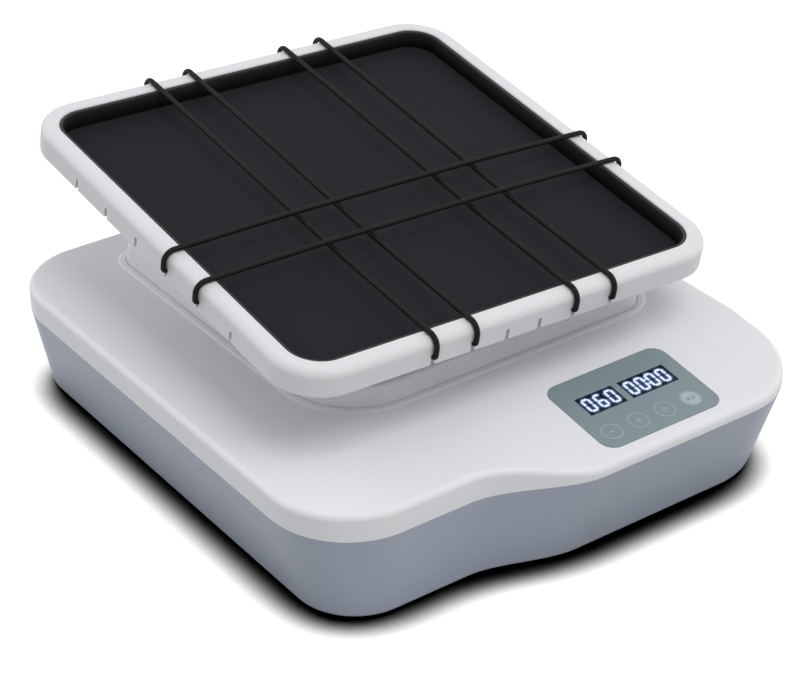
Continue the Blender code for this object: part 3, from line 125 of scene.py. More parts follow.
def baseOutline(level, inset):
    # Level 0 is the foot of the lower shell and level 1 the seam
    form = baseForm
    counts = outlineCounts
    drawnIn = 1.0 - level
    left = baseLow.x + form['sideTaper'] * drawnIn + inset
    right = baseHigh.x - form['sideTaper'] * drawnIn - inset
    rear = baseHigh.y - form['rearTaper'] * drawnIn - inset
    frontRight = baseLow.y + form['frontRightTaper'] * drawnIn + inset
    frontLeft = baseLow.y + form['frontStep'] + form['frontLeftTaper'] * drawnIn + inset
    radii = [form[corner + 'Radius'] * level + form[corner + 'FootRadius'] * drawnIn - inset
             for corner in ('frontLeft', 'frontRight', 'rear')]
    waveStart = form['waveStart']
    waveEnd = form['waveEnd'] - form['waveEndTaper'] * drawnIn
    front = straight((left + radii[0], frontLeft), (waveStart, frontLeft), counts['frontLeft'])
    for step in range(counts['wave']):
        along = step / counts['wave']
        y = frontLeft + (frontRight - frontLeft) * smoothShare(along)
        front.append(Vector((waveStart + (waveEnd - waveStart) * along, y)))
    front += straight((waveEnd, frontRight), (right - radii[1], frontRight), counts['frontRight'])
    return roundedBox(left, right, frontLeft, frontRight, rear, radii, front)


def atHeight(outline, z):
    return [(p[0], p[1], z) for p in outline]


def onDeck(outline, offset):
    return [(p[0], p[1], deckHeight(p[0], p[1]) + offset) for p in outline]


def slab(outline, low, high):
    return [atHeight(outline, low), atHeight(outline, high)]


def quarterAngles(steps):
    return [quarter * step / steps for step in range(steps + 1)]


def middle(node):
    low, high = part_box(node)
    return (low + high) / 2.0


def localPoints(node, place):
    # A solid's vertices, seen from that place
    toLocal = place.inverted()
    return [toLocal @ vertex.co for vertex in frame['nodes'][node].data.vertices]


# Mesh tools

def addLoft(builder, rings, closed=False):
    rows = [[builder.verts.new(point) for point in ring] for ring in rings]
    pairs = list(zip(rows, rows[1:]))
    if closed:
        pairs.append((rows[-1], rows[0]))
    for lower, upper in pairs:
        for index in range(len(lower)):
            following = (index + 1) % len(lower)
            builder.faces.new((lower[index], lower[following], upper[following], upper[index]))
    if not closed:
        builder.faces.new(rows[0])
        builder.faces.new(rows[-1])
    return builder


def loft(rings, closed=False):
    return addLoft(bmesh.new(), rings, closed)


def circle(radius, count, centre=(0.0, 0.0)):
    angles = [2.0 * math.pi * step / count for step in range(count)]
    return [(centre[0] + radius * math.cos(a), centre[1] + radius * math.sin(a)) for a in angles]


def softRectangle(halfWidth, halfDepth, radius, count=8, centre=(0.0, 0.0)):
    points = []
    for turn, (sideX, sideY) in enumerate(((1, 1), (-1, 1), (-1, -1), (1, -1))):
        cornerX = centre[0] + sideX * (halfWidth - radius)
        cornerY = centre[1] + sideY * (halfDepth - radius)
        for step in range(count + 1):
            angle = (turn + step / count) * quarter
            points.append((cornerX + radius * math.cos(angle), cornerY + radius * math.sin(angle)))
    return points


def soften(profile, radius, ends, steps=4, mostShare=0.45):
    # Rounds the corners of a profile; without ends, its first and last points stay sharp
    rounded = []
    last = len(profile) - 1
    for index, corner in enumerate(profile):
        if not ends and index in (0, last):
            rounded.append(tuple(corner))
            continue
        here = Vector(corner)
        before = Vector(profile[index - 1]) - here
        after = Vector(profile[(index + 1) % len(profile)]) - here
        reach = min(radius, before.length * mostShare, after.length * mostShare)
        start = here + before.normalized() * reach
        end = here + after.normalized() * reach
        for step in range(steps + 1):
            share = step / steps
            point = start * (1.0 - share) ** 2 + here * 2.0 * share * (1.0 - share) + end * share ** 2
            rounded.append(tuple(point))
    return rounded


def addObject(name, data):
    piece = bpy.data.objects.new(name, data)
    bpy.context.scene.collection.objects.link(piece)
    return piece


def discard(piece):
    bpy.data.objects.remove(piece, do_unlink=True)


def newObject(name, builder, place=None):
    bmesh.ops.recalc_face_normals(builder, faces=builder.faces)
    mesh = bpy.data.meshes.new(name)
    builder.to_mesh(mesh)
    builder.free()
    if place is not None:
        mesh.transform(place)
    return addObject(name, mesh)


def settle(piece):
    # Makes what the modifiers show the piece's own mesh
    depsgraph = bpy.context.evaluated_depsgraph_get()
    mesh = bpy.data.meshes.new_from_object(piece.evaluated_get(depsgraph))
    name = piece.name
    if piece.type == 'MESH':
        piece.modifiers.clear()
        old = piece.data
        piece.data = mesh
        bpy.data.meshes.remove(old)
        mesh.name = name
        return piece
    discard(piece)
    return addObject(name, mesh)


def cutOut(piece, tools):
    # Cuts each tool's solid out of the piece
    for tool in tools:
        step = piece.modifiers.new('cut', 'BOOLEAN')
        step.operation = 'DIFFERENCE'
        step.solver = 'EXACT'
        step.object = tool
    settle(piece)
    for tool in tools:
        discard(tool)


def carve(piece, builders, place=None):
    cutOut(piece, [newObject('carveTool', builder, place) for builder in builders])


def finishPiece(piece, finish, body, nodes, crease=32.0):
    # Smooth shading with even normals, then its finish, its body and the solids it stands for
    mesh = piece.data
    mesh.shade_smooth()
    mesh.set_sharp_from_angle(angle=math.radians(crease))
    evened = piece.modifiers.new('evened', 'WEIGHTED_NORMAL')
    evened.keep_sharp = True
    evened.weight = 80
    settle(piece)
    piece.data.materials.clear()
    piece.data.materials.append(finishes[finish])
    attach(piece, body)
    if nodes:
        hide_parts(*nodes)


# Node tools

def feed(tree, node, inputs):
    # An input takes a value, a socket to link from, or a list of such sockets
    for key, value in inputs.items():
        for source in value if isinstance(value, list) else [value]:
            if isinstance(source, bpy.types.NodeSocket):
                tree.links.new(source, node.inputs[key])
            else:
                node.inputs[key].default_value = source


def addNode(tree, kind, inputs, **settings):
    node = tree.nodes.new(kind)
    for name, value in settings.items():
        setattr(node, name, value)
    feed(tree, node, inputs)
    return node


def worked(tree, operation, first, second):
    node = addNode(tree, 'ShaderNodeMath', {0: first, 1: second}, operation=operation)
    return node.outputs['Value']


def mixed(tree, share, first, second):
    # From the first colour to the second, and a colour may be a socket
    inputs = {'Factor': share, 'A': first, 'B': second}
    return addNode(tree, 'ShaderNodeMix', inputs, data_type='RGBA').outputs['Result']


def opaque(colour):
    return (*colour, 1.0)


def newMaterial(name):
    material = bpy.data.materials.new(name)
    material.use_nodes = True
    return material, material.node_tree, material.node_tree.nodes['Principled BSDF']


# Finishes: clouds is the scale of the mottling, gloss is roughness and its spread, and grain is the scale,
# the strength and the depth in millimetres of the grain, or of a lathe's rings where it is turned

finishLooks = {
    'whitePlastic': {'colour': (0.735, 0.74, 0.755), 'mottle': (0.705, 0.71, 0.73), 'clouds': 9.0,
                     'gloss': (0.56, 0.05), 'grain': (2600.0, 0.14, 0.05), 'specular': 0.35},
    # The tray's plastic is the cover's white plastic darkened by a tenth, as painted shade, so that the tray,
    # which takes more light than the deck, looks no brighter than it
    'trayPlastic': {'colour': (0.665, 0.67, 0.683), 'mottle': (0.638, 0.643, 0.66), 'clouds': 9.0,
                    'gloss': (0.56, 0.05), 'grain': (2600.0, 0.14, 0.05), 'specular': 0.35},
    'slatePlastic': {'colour': (0.307, 0.344, 0.409), 'mottle': (0.291, 0.327, 0.392), 'clouds': 8.0,
                     'gloss': (0.46, 0.05), 'grain': (2200.0, 0.18, 0.06)},
    'panelFilm': {'colour': (0.191, 0.254, 0.276), 'mottle': (0.181, 0.243, 0.264), 'clouds': 16.0,
                  'gloss': (0.36, 0.04), 'grain': (5200.0, 0.10, 0.02)},
    'printedLine': {'colour': (0.37, 0.43, 0.44), 'mottle': (0.34, 0.40, 0.41), 'clouds': 40.0,
                    'gloss': (0.5, 0.04), 'grain': (4000.0, 0.05, 0.01)},
    'smokedLens': {'colour': (0.003, 0.006, 0.016), 'mottle': (0.004, 0.008, 0.022), 'clouds': 60.0,
                   'gloss': (0.16, 0.03), 'grain': (900.0, 0.02, 0.01), 'specular': 0.25},
    'glossBlack': {'colour': (0.003, 0.003, 0.0033), 'mottle': (0.004, 0.004, 0.0044), 'clouds': 14.0,
                   'gloss': (0.36, 0.05), 'grain': (700.0, 0.05, 0.03), 'specular': 0.12},
    'softMat': {'colour': (0.0112, 0.0126, 0.0150), 'mottle': (0.0126, 0.0141, 0.0165), 'clouds': 10.0,
                'gloss': (0.82, 0.05), 'grain': (1500.0, 0.35, 0.08), 'specular': 0.12},
    'elasticCord': {'colour': (0.0045, 0.0047, 0.0050), 'mottle': (0.0065, 0.0065, 0.0070), 'clouds': 120.0,
                    'gloss': (0.58, 0.08), 'grain': (2400.0, 0.30, 0.08), 'specular': 0.14},
    'footRubber': {'colour': (0.022, 0.022, 0.023), 'mottle': (0.030, 0.030, 0.030), 'clouds': 90.0,
                   'gloss': (0.78, 0.06), 'grain': (1600.0, 0.30, 0.06)},
    'mouldedBlack': {'colour': (0.018, 0.018, 0.019), 'mottle': (0.024, 0.024, 0.024), 'clouds': 60.0,
                     'gloss': (0.42, 0.06), 'grain': (2600.0, 0.22, 0.04)},
    'paintedMotor': {'colour': (0.028, 0.028, 0.030), 'mottle': (0.036, 0.036, 0.038), 'clouds': 40.0,
                     'gloss': (0.38, 0.07), 'grain': (1400.0, 0.20, 0.05)},
    'zincSteel': {'colour': (0.54, 0.55, 0.56), 'mottle': (0.47, 0.48, 0.50), 'clouds': 55.0,
                  'gloss': (0.32, 0.08), 'grain': (1800.0, 0.15, 0.03), 'metallic': 1.0},
    'whiteMark': {'colour': (0.70, 0.70, 0.70), 'mottle': (0.66, 0.66, 0.66), 'clouds': 80.0,
                  'gloss': (0.5, 0.05), 'grain': (3000.0, 0.05, 0.01)},
    'boardGreen': {'colour': (0.018, 0.150, 0.062), 'mottle': (0.014, 0.120, 0.050), 'clouds': 70.0,
                   'gloss': (0.36, 0.06), 'grain': (1500.0, 0.15, 0.03)},
    'ivoryNylon': {'colour': (0.74, 0.72, 0.63), 'mottle': (0.69, 0.67, 0.58), 'clouds': 80.0,
                   'gloss': (0.5, 0.06), 'grain': (1800.0, 0.12, 0.03)},
    'turnedAluminium': {'colour': (0.70, 0.71, 0.72), 'mottle': (0.63, 0.64, 0.65), 'clouds': 45.0,
                        'gloss': (0.34, 0.06), 'grain': (900.0, 0.12, 0.02), 'metallic': 1.0, 'turned': True},
    'groundSteel': {'colour': (0.58, 0.59, 0.61), 'mottle': (0.52, 0.53, 0.55), 'clouds': 60.0,
                    'gloss': (0.20, 0.05), 'grain': (1500.0, 0.08, 0.01), 'metallic': 1.0, 'turned': True},
}
finishDetail = {'clouds': 4.0, 'grain': 3.0, 'ringWaver': 0.6, 'ior': 1.48}
litBody = {'colour': (0.02, 0.03, 0.06), 'roughness': 0.3}
litLooks = {
    'litSegment': {'colour': (0.78, 0.87, 1.0), 'strength': 0.98},
    'segmentHalo': {'colour': (0.12, 0.19, 0.42), 'strength': 0.9},
    'segmentGlow': {'colour': (0.020, 0.035, 0.095), 'strength': 0.7},
}


def newFinish(name, look):
    # Mottled colour, an uneven gloss and a fine relief, all from the piece's own coordinates
    finish, tree, shader = newMaterial(name)
    roughness, spread = look['gloss']
    scale, strength, depth = look['grain']
    place = addNode(tree, 'ShaderNodeTexCoord', {}).outputs['Object']
    clouds = addNode(tree, 'ShaderNodeTexNoise', {
        'Scale': look['clouds'], 'Detail': finishDetail['clouds'], 'Vector': place})
    gloss = addNode(tree, 'ShaderNodeMapRange', {
        'Value': clouds.outputs['Fac'], 'To Min': roughness - spread, 'To Max': roughness + spread})
    if look.get('turned'):
        relief = addNode(tree, 'ShaderNodeTexWave', {
            'Scale': scale, 'Distortion': finishDetail['ringWaver'], 'Vector': place},
            wave_type='BANDS', bands_direction='Z')
    else:
        relief = addNode(tree, 'ShaderNodeTexNoise', {
            'Scale': scale, 'Detail': finishDetail['grain'], 'Vector': place})
    bump = addNode(tree, 'ShaderNodeBump', {
        'Height': relief.outputs['Fac'], 'Strength': strength, 'Distance': depth * mm})
    feed(tree, shader, {
        'Base Color': mixed(tree, clouds.outputs['Fac'], opaque(look['colour']), opaque(look['mottle'])),
        'Roughness': gloss.outputs['Result'], 'Normal': bump.outputs['Normal'], 'IOR': finishDetail['ior'],
        'Metallic': look.get('metallic', 0.0), 'Specular IOR Level': look.get('specular', 0.5)})
    return finish


def litFinish(name, look):
    # A lit segment: mostly its own light, with the sheen of the lens over it
    finish, tree, shader = newMaterial(name)
    feed(tree, shader, {'Base Color': opaque(litBody['colour']), 'Roughness': litBody['roughness'],
                        'Emission Color': opaque(look['colour']), 'Emission Strength': look['strength']})
    return finish


finishes = {name: newFinish(name, look) for name, look in finishLooks.items()}
finishes.update({name: litFinish(name, look) for name, look in litLooks.items()})
print('finishes made')


# Geometry Nodes tools

def newTree(name, inputs):
    # A tree with a geometry input, the named inputs and one geometry output
    tree = bpy.data.node_groups.new(name, 'GeometryNodeTree')
    tree.interface.new_socket('Geometry', in_out='INPUT', socket_type='NodeSocketGeometry')
    for label, kind in inputs.items():
        tree.interface.new_socket(label, in_out='INPUT', socket_type='NodeSocket' + kind)
    tree.interface.new_socket('Geometry', in_out='OUTPUT', socket_type='NodeSocketGeometry')
    return tree, tree.nodes.new('NodeGroupInput').outputs


def endTree(tree, source, start):
    # Every tree ends in real geometry with its finish on it
    real = addNode(tree, 'GeometryNodeRealizeInstances', {'Geometry': source})
    coated = addNode(tree, 'GeometryNodeSetMaterial', {
        'Geometry': real.outputs['Geometry'], 'Material': start['Finish']})
    addNode(tree, 'NodeGroupOutput', {'Geometry': coated.outputs['Geometry']})
    return tree


def runTree(piece, tree, values):
    modifier = piece.modifiers.new(tree.name, 'NODES')
    modifier.node_group = tree
    for item in tree.interface.items_tree:
        if item.in_out == 'INPUT' and item.name in values:
            modifier[item.identifier] = values[item.name]
    return settle(piece)


def pointsObject(name, places, turns=None):
    mesh = bpy.data.meshes.new(name)
    mesh.from_pydata([tuple(place) for place in places], [], [])
    if turns is not None:
        attribute = mesh.attributes.new('turn', 'FLOAT', 'POINT')
        attribute.data.foreach_set('value', turns)
    return addObject(name, mesh)


def tubeTree():
    # A round tube along a curve, as thick at each point as the curve's own radius says
    tree, start = newTree('tubeAlongCurve', {'Thickness': 'Float', 'Sides': 'Int', 'Finish': 'Material'})
    profile = addNode(tree, 'GeometryNodeCurvePrimitiveCircle', {
        'Radius': start['Thickness'], 'Resolution': start['Sides']})
    tube = addNode(tree, 'GeometryNodeCurveToMesh', {
        'Curve': start['Geometry'], 'Profile Curve': profile.outputs['Curve']})
    return endTree(tree, tube.outputs['Mesh'], start)


def scatterTree():
    # One copy of a shape on each point, turned about Z by the point's own angle
    tree, start = newTree('shapeOnPoints', {'Shape': 'Object', 'Finish': 'Material'})
    shape = addNode(tree, 'GeometryNodeObjectInfo', {'Object': start['Shape']})
    angle = addNode(tree, 'GeometryNodeInputNamedAttribute', {'Name': 'turn'}, data_type='FLOAT')
    aboutZ = addNode(tree, 'ShaderNodeCombineXYZ', {'Z': angle.outputs['Attribute']})
    rotation = addNode(tree, 'FunctionNodeEulerToRotation', {'Euler': aboutZ.outputs['Vector']})
    copies = addNode(tree, 'GeometryNodeInstanceOnPoints', {
        'Points': start['Geometry'], 'Instance': shape.outputs['Geometry'],
        'Rotation': rotation.outputs['Rotation']})
    return endTree(tree, copies.outputs['Instances'], start)


# Shares of the head's radius at its face, and of its height for the middle of the bars that cut the recess
screwForm = {'headSides': 48, 'shankSides': 32, 'faceShare': 0.86, 'recessPlace': -0.4}


def screwTree():
    # Pan head screws on points, heads down, each with a cross recess
    form = screwForm
    tree, start = newTree('screwsOnPoints', {
        'Head radius': 'Float', 'Head height': 'Float', 'Shank radius': 'Float', 'Shank length': 'Float',
        'Slot width': 'Float', 'Slot length': 'Float', 'Finish': 'Material'})
    radius = start['Head radius']
    height = start['Head height']

    def raised(mesh, lift):
        up = addNode(tree, 'ShaderNodeCombineXYZ', {'Z': lift})
        move = addNode(tree, 'GeometryNodeTransform', {'Geometry': mesh, 'Translation': up.outputs['Vector']})
        return move.outputs['Geometry']

    face = worked(tree, 'MULTIPLY', radius, form['faceShare'])
    head = addNode(tree, 'GeometryNodeMeshCone', {
        'Vertices': form['headSides'], 'Radius Bottom': face, 'Radius Top': radius, 'Depth': height})
    bars = []
    for across, along in (('Slot width', 'Slot length'), ('Slot length', 'Slot width')):
        size = addNode(tree, 'ShaderNodeCombineXYZ', {'X': start[across], 'Y': start[along], 'Z': height})
        bar = addNode(tree, 'GeometryNodeMeshCube', {'Size': size.outputs['Vector']})
        bars.append(raised(bar.outputs['Mesh'], worked(tree, 'MULTIPLY', height, form['recessPlace'])))
    recess = addNode(tree, 'GeometryNodeMeshBoolean', {'Mesh 1': head.outputs['Mesh'], 'Mesh 2': bars},
                     operation='DIFFERENCE')
    shank = addNode(tree, 'GeometryNodeMeshCylinder', {
        'Vertices': form['shankSides'], 'Radius': start['Shank radius'], 'Depth': start['Shank length']})
    shankMiddle = worked(tree, 'ADD', height, worked(tree, 'DIVIDE', start['Shank length'], 2.0))
    whole = addNode(tree, 'GeometryNodeJoinGeometry', {
        'Geometry': [recess.outputs['Mesh'], raised(shank.outputs['Mesh'], shankMiddle)]})
    copies = addNode(tree, 'GeometryNodeInstanceOnPoints', {
        'Points': start['Geometry'], 'Instance': whole.outputs['Geometry']})
    return endTree(tree, copies.outputs['Instances'], start)


tubeAlongCurve = tubeTree()
shapeOnPoints = scatterTree()
screwsOnPoints = screwTree()


def scatter(name, shapeBuilder, places, finish, turns=None):
    shape = newObject('scatterShape', shapeBuilder)
    points = pointsObject(name, places, turns or [0.0] * len(places))
    piece = runTree(points, shapeOnPoints, {'Shape': shape, 'Finish': finishes[finish]})
    discard(shape)
    return piece


# Lower shell

lowerShellLook = {
    'roundingSteps': 6,
    'recessSides': 64,
    'holeSides': 48,
    **inMm(
        foot=1.5, wall=2.5, floor=2.5, footRounding=1.6, rimRounding=0.2,
        lipHeight=2.4, lipInset=2.8, lipWall=1.2, lipShoulder=5.0, lipFoot=8.0,
        screwX=120.0, screwFrontY=-86.15, screwRearY=101.85, screwHole=3.9, screwSeat=4.0,
        footRecess=8.3, footRecessDepth=1.2,
        inletX=62.0, switchX=24.0, mainsHeight=16.5, inletHole=(27.0, 20.0), switchHole=(12.4, 18.6),
        holeDepth=6.0,
    ),
}


def shellLevel(z):
    foot = lowerShellLook['foot']
    return (z - foot) / (baseForm['seamHeight'] - foot)


def wallFrame(x, z):
    # On the sloping rear wall, with its Z axis pointing out
    slope = math.atan2(baseForm['rearTaper'], baseForm['seamHeight'] - lowerShellLook['foot'])
    y = baseHigh.y - baseForm['rearTaper'] * (1.0 - shellLevel(z))
    return Matrix.Translation((x, y, z)) @ Matrix.Rotation(-quarter - slope, 4, 'X')


inletPlace = wallFrame(lowerShellLook['inletX'], lowerShellLook['mainsHeight'])
switchPlace = wallFrame(lowerShellLook['switchX'], lowerShellLook['mainsHeight'])
caseScrewPlaces = [(side * lowerShellLook['screwX'], y)
                   for y in (lowerShellLook['screwFrontY'], lowerShellLook['screwRearY']) for side in (-1, 1)]
footNodes = ['foot_front_left', 'foot_front_right', 'foot_rear_left', 'foot_rear_right']


def makeLowerShell():
    look = lowerShellLook
    wallTop = baseForm['seamHeight'] - baseForm['seamGap'] / 2.0
    lipTop = wallTop + look['lipHeight']
    foot = look['foot']
    inner = look['lipInset'] + look['lipWall']

    def wallRing(z, inset):
        return atHeight(baseOutline(shellLevel(z), inset), z)

    rings = [
        wallRing(foot + look['floor'], look['wall']),
        wallRing(wallTop - look['lipFoot'], look['wall']),
        wallRing(wallTop - look['lipShoulder'], inner),
        atHeight(baseOutline(1.0, inner), lipTop),
        atHeight(baseOutline(1.0, look['lipInset']), lipTop),
        atHeight(baseOutline(1.0, look['lipInset']), wallTop),
    ]
    angles = quarterAngles(look['roundingSteps'])
    for angle in angles:
        z = wallTop - look['rimRounding'] * (1.0 - math.cos(angle))
        rings.append(wallRing(z, look['rimRounding'] * (1.0 - math.sin(angle))))
    for angle in angles:
        z = foot + look['footRounding'] * (1.0 - math.sin(angle))
        rings.append(wallRing(z, look['footRounding'] * (1.0 - math.cos(angle))))
    shell = newObject('lowerShell', loft(rings))
    hollows = [(look['footRecess'], look['footRecessDepth'], look['recessSides'], middle(node)[:2])
               for node in footNodes]
    hollows += [(look['screwHole'], look['screwSeat'], look['holeSides'], place) for place in caseScrewPlaces]
    carve(shell, [loft(slab(circle(radius, sides, place), foot - overrun, foot + depth))
                  for radius, depth, sides, place in hollows])
    for place, (width, height) in ((inletPlace, look['inletHole']), (switchPlace, look['switchHole'])):
        hole = softRectangle(width / 2.0 + fitGap, height / 2.0 + fitGap, fitGap)
        carve(shell, [loft(slab(hole, -look['holeDepth'], overrun))], place)
    finishPiece(shell, 'slatePlastic', 'base', ['lower_shell'])


makeLowerShell()
print('lower shell made')


# Top cover and drive housing

coverLook = {
    'roundingSteps': 7,
    'deckRows': 26,
    'undersideRows': 8,
    **inMm(
        edgeRounding=3.4, rimRounding=0.2, wall=2.5, thickness=2.5,
        curbWidth=4.6, curbHeight=0.8, curbShoulder=2.0, curbEdge=0.3, openingInset=3.0,
    ),
}
housingLook = {
    'roundingSteps': 7,
    'openingSides': 96,
    'slotSteps': 6,
    **inMm(
        height=11.0, draft=1.8, edgeRounding=2.2, topThickness=2.5,
        wallInset=5.3, plugInset=3.3, plugDepth=3.5,
        frontLeftRadius=38.0, frontRightRadius=18.0, rearRadius=12.0, crankOpening=23.3,
        slotHalfWidth=12.6, slotHalfDepth=3.8, slotRadius=1.5, slotDistance=62.0,
    ),
}
housingLow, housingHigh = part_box('drive_housing')
panelForm = {
    'cornerSteps': 16,
    'windowSteps': 4,
    **inMm(
        x=50.0, frontDistance=34.4, width=75.4, depth=53.2, radius=8.0, filmThickness=0.5,
        filmBevel=0.12, filmBevelDepth=0.1, windowY=5.8, windowHeight=14.0, windowRadius=0.3, windowCut=5.0,
        speedX=-16.2, speedWidth=23.5, timerX=14.4, timerWidth=30.1, lensGap=0.02, lensRadius=0.28,
    ),
}

# Panel plane on the ramp, with its Z axis pointing up out of the film
rampSlope = math.atan2(baseForm['frontDrop'], baseForm['rampLength'])
panelDrop = baseForm['frontDrop'] * (1.0 - panelForm['frontDistance'] / baseForm['rampLength'])
panelMiddle = (panelForm['x'], baseLow.y + panelForm['frontDistance'], baseForm['deckHeight'] - panelDrop)
panelPlace = Matrix.Translation(panelMiddle) @ Matrix.Rotation(rampSlope, 4, 'X')


def housingOutline(inset):
    # As many points as the base's outline has, so that the cover can run from one to the other
    radii = [housingLook[corner + 'Radius'] - inset for corner in ('frontLeft', 'frontRight', 'rear')]
    left = housingLow.x + inset
    right = housingHigh.x - inset
    front = housingLow.y + inset
    count = outlineCounts['frontLeft'] + outlineCounts['wave'] + outlineCounts['frontRight']
    stretch = straight((left + radii[0], front), (right - radii[1], front), count)
    return roundedBox(left, right, front, front, housingHigh.y - inset, radii, stretch)


def between(outer, inner, share):
    return [a.lerp(b, share) for a, b in zip(outer, inner)]


def filmOutline(growth, radius):
    form = panelForm
    return softRectangle(form['width'] / 2.0 + growth, form['depth'] / 2.0 + growth, radius,
                         form['cornerSteps'])


def windowOutlines(growth, radius):
    # Outlines of both display windows, grown on all sides
    form = panelForm
    return [softRectangle(width / 2.0 + growth, form['windowHeight'] / 2.0 + growth, radius,
                          form['windowSteps'], (x, form['windowY']))
            for x, width in ((form['speedX'], form['speedWidth']), (form['timerX'], form['timerWidth']))]


def makeTopCover():
    look = coverLook
    bottom = baseForm['seamHeight'] + baseForm['seamGap'] / 2.0
    rounding = look['edgeRounding']
    rim = look['rimRounding']
    steps = look['roundingSteps']
    rings = []
    for angle in quarterAngles(steps):
        outline = baseOutline(1.0, rim * (1.0 - math.sin(angle)))
        rings.append(atHeight(outline, bottom + rim * (1.0 - math.cos(angle))))
    for angle in quarterAngles(steps):
        outline = baseOutline(1.0, rounding * (1.0 - math.cos(angle)))
        rings.append(onDeck(outline, -rounding * (1.0 - math.sin(angle))))
    deckEdge = baseOutline(1.0, rounding)
    curbFoot = housingOutline(-fitGap - look['curbWidth'])
    for row in range(1, look['deckRows']):
        rings.append(onDeck(between(deckEdge, curbFoot, row / look['deckRows']), 0.0))
    for step in range(steps + 1):
        along = step / steps
        inset = -fitGap - look['curbWidth'] + look['curbShoulder'] * along
        rings.append(onDeck(housingOutline(inset), look['curbHeight'] * smoothShare(along)))
    openingEdge = housingOutline(look['openingInset'])
    wallInside = baseOutline(1.0, look['wall'])
    rings.append(onDeck(housingOutline(-fitGap - look['curbEdge']), look['curbHeight']))
    rings.append(onDeck(housingOutline(-fitGap), look['curbHeight'] - look['curbEdge']))
    rings.append(onDeck(housingOutline(-fitGap), 0.0))
    rings.append(onDeck(openingEdge, 0.0))
    for row in range(look['undersideRows'] + 1):
        outline = between(openingEdge, wallInside, row / look['undersideRows'])
        rings.append(onDeck(outline, -look['thickness']))
    rings.append(atHeight(wallInside, bottom))
    cover = newObject('topCover', loft(rings, closed=True))
    form = panelForm
    depth = form['filmThickness'] + fitGap
    cutters = [loft(slab(filmOutline(fitGap, form['radius']), -depth, overrun))]
    cutters += [loft(slab(window, -depth - form['windowCut'], overrun))
                for window in windowOutlines(fitGap, fitGap)]
    carve(cover, cutters, panelPlace)
    finishPiece(cover, 'whitePlastic', 'base', ['top_cover'])


def makeDriveHousing():
    look = housingLook
    foot = baseForm['deckHeight'] + fitGap
    top = foot + look['height']
    ceiling = top - look['topThickness']
    rounding = look['edgeRounding']
    plugFoot = baseForm['deckHeight'] - look['plugDepth']
    rings = [
        atHeight(housingOutline(look['wallInset']), ceiling),
        atHeight(housingOutline(look['wallInset']), plugFoot),
        atHeight(housingOutline(look['plugInset']), plugFoot),
        atHeight(housingOutline(look['plugInset']), foot),
        atHeight(housingOutline(0.0), foot),
    ]
    shoulder = top - rounding
    drawn = look['draft'] * (shoulder - foot) / look['height']
    for angle in quarterAngles(look['roundingSteps']):
        inset = drawn + rounding * (1.0 - math.cos(angle))
        rings.append(atHeight(housingOutline(inset), shoulder + rounding * math.sin(angle)))
    housing = newObject('driveHousing', loft(rings))
    opening = circle(look['crankOpening'], look['openingSides'], pivot[:2])
    slot = softRectangle(look['slotHalfWidth'], look['slotHalfDepth'], look['slotRadius'], look['slotSteps'],
                         (pivot.x, pivot.y + look['slotDistance']))
    carve(housing, [loft(slab(outline, ceiling - overrun, top + overrun)) for outline in (opening, slot)])
    finishPiece(housing, 'whitePlastic', 'base', ['drive_housing'])


makeTopCover()
makeDriveHousing()
print('cover and drive housing made')


# Control panel: film, lenses, lit digits and touch keys

digitLook = {
    'layers': (('litSegment', 'stroke', 3.0), ('segmentHalo', 'halo', 2.0), ('segmentGlow', 'glow', 1.0)),
    'dotSteps': 3,
    **inMm(
        height=10.2, width=5.2, stroke=1.25, gap=0.16, halo=2.1, glow=3.6, thickness=0.04,
        speedPitch=7.35, timerPlaces=(-10.7, -3.75, 3.1, 10.05),
        colonX=-0.32, colonHeight=1.75, colonSize=0.5, colonRadius=0.25, lensDrop=0.16,
    ),
}
# Segments of a digit, clockwise from a at the top to f at the upper left, with g in the middle
digitSegments = {'0': 'abcdef', '6': 'acdefg'}


def segmentPlaces(text, centres):
    # Middle and turn of each lit bar, across at the ends and the waist, upright at the sides
    look = digitLook
    halfWidth = (look['width'] - look['stroke']) / 2.0
    halfHeight = (look['height'] - look['stroke']) / 2.0
    bars = {
        'a': (0.0, halfHeight, 0.0), 'd': (0.0, -halfHeight, 0.0), 'g': (0.0, 0.0, 0.0),
        'b': (halfWidth, halfHeight / 2.0, quarter), 'c': (halfWidth, -halfHeight / 2.0, quarter),
        'e': (-halfWidth, -halfHeight / 2.0, quarter), 'f': (-halfWidth, halfHeight / 2.0, quarter),
    }
    found = []
    for digit, centre in zip(text, centres):
        for letter in digitSegments[digit]:
            x, y, turn = bars[letter]
            found.append((centre + x, panelForm['windowY'] + y, turn))
    return found


def barShape(length, stroke, thickness):
    # A bar with pointed ends, as one segment of a digit
    half = length / 2.0
    point = stroke / 2.0
    outline = [(-half, 0.0), (-half + point, -point), (half - point, -point),
               (half, 0.0), (half - point, point), (-half + point, point)]
    return loft(slab(outline, 0.0, thickness))


def placeLit(piece):
    piece.data.transform(panelPlace)
    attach(piece, 'base')


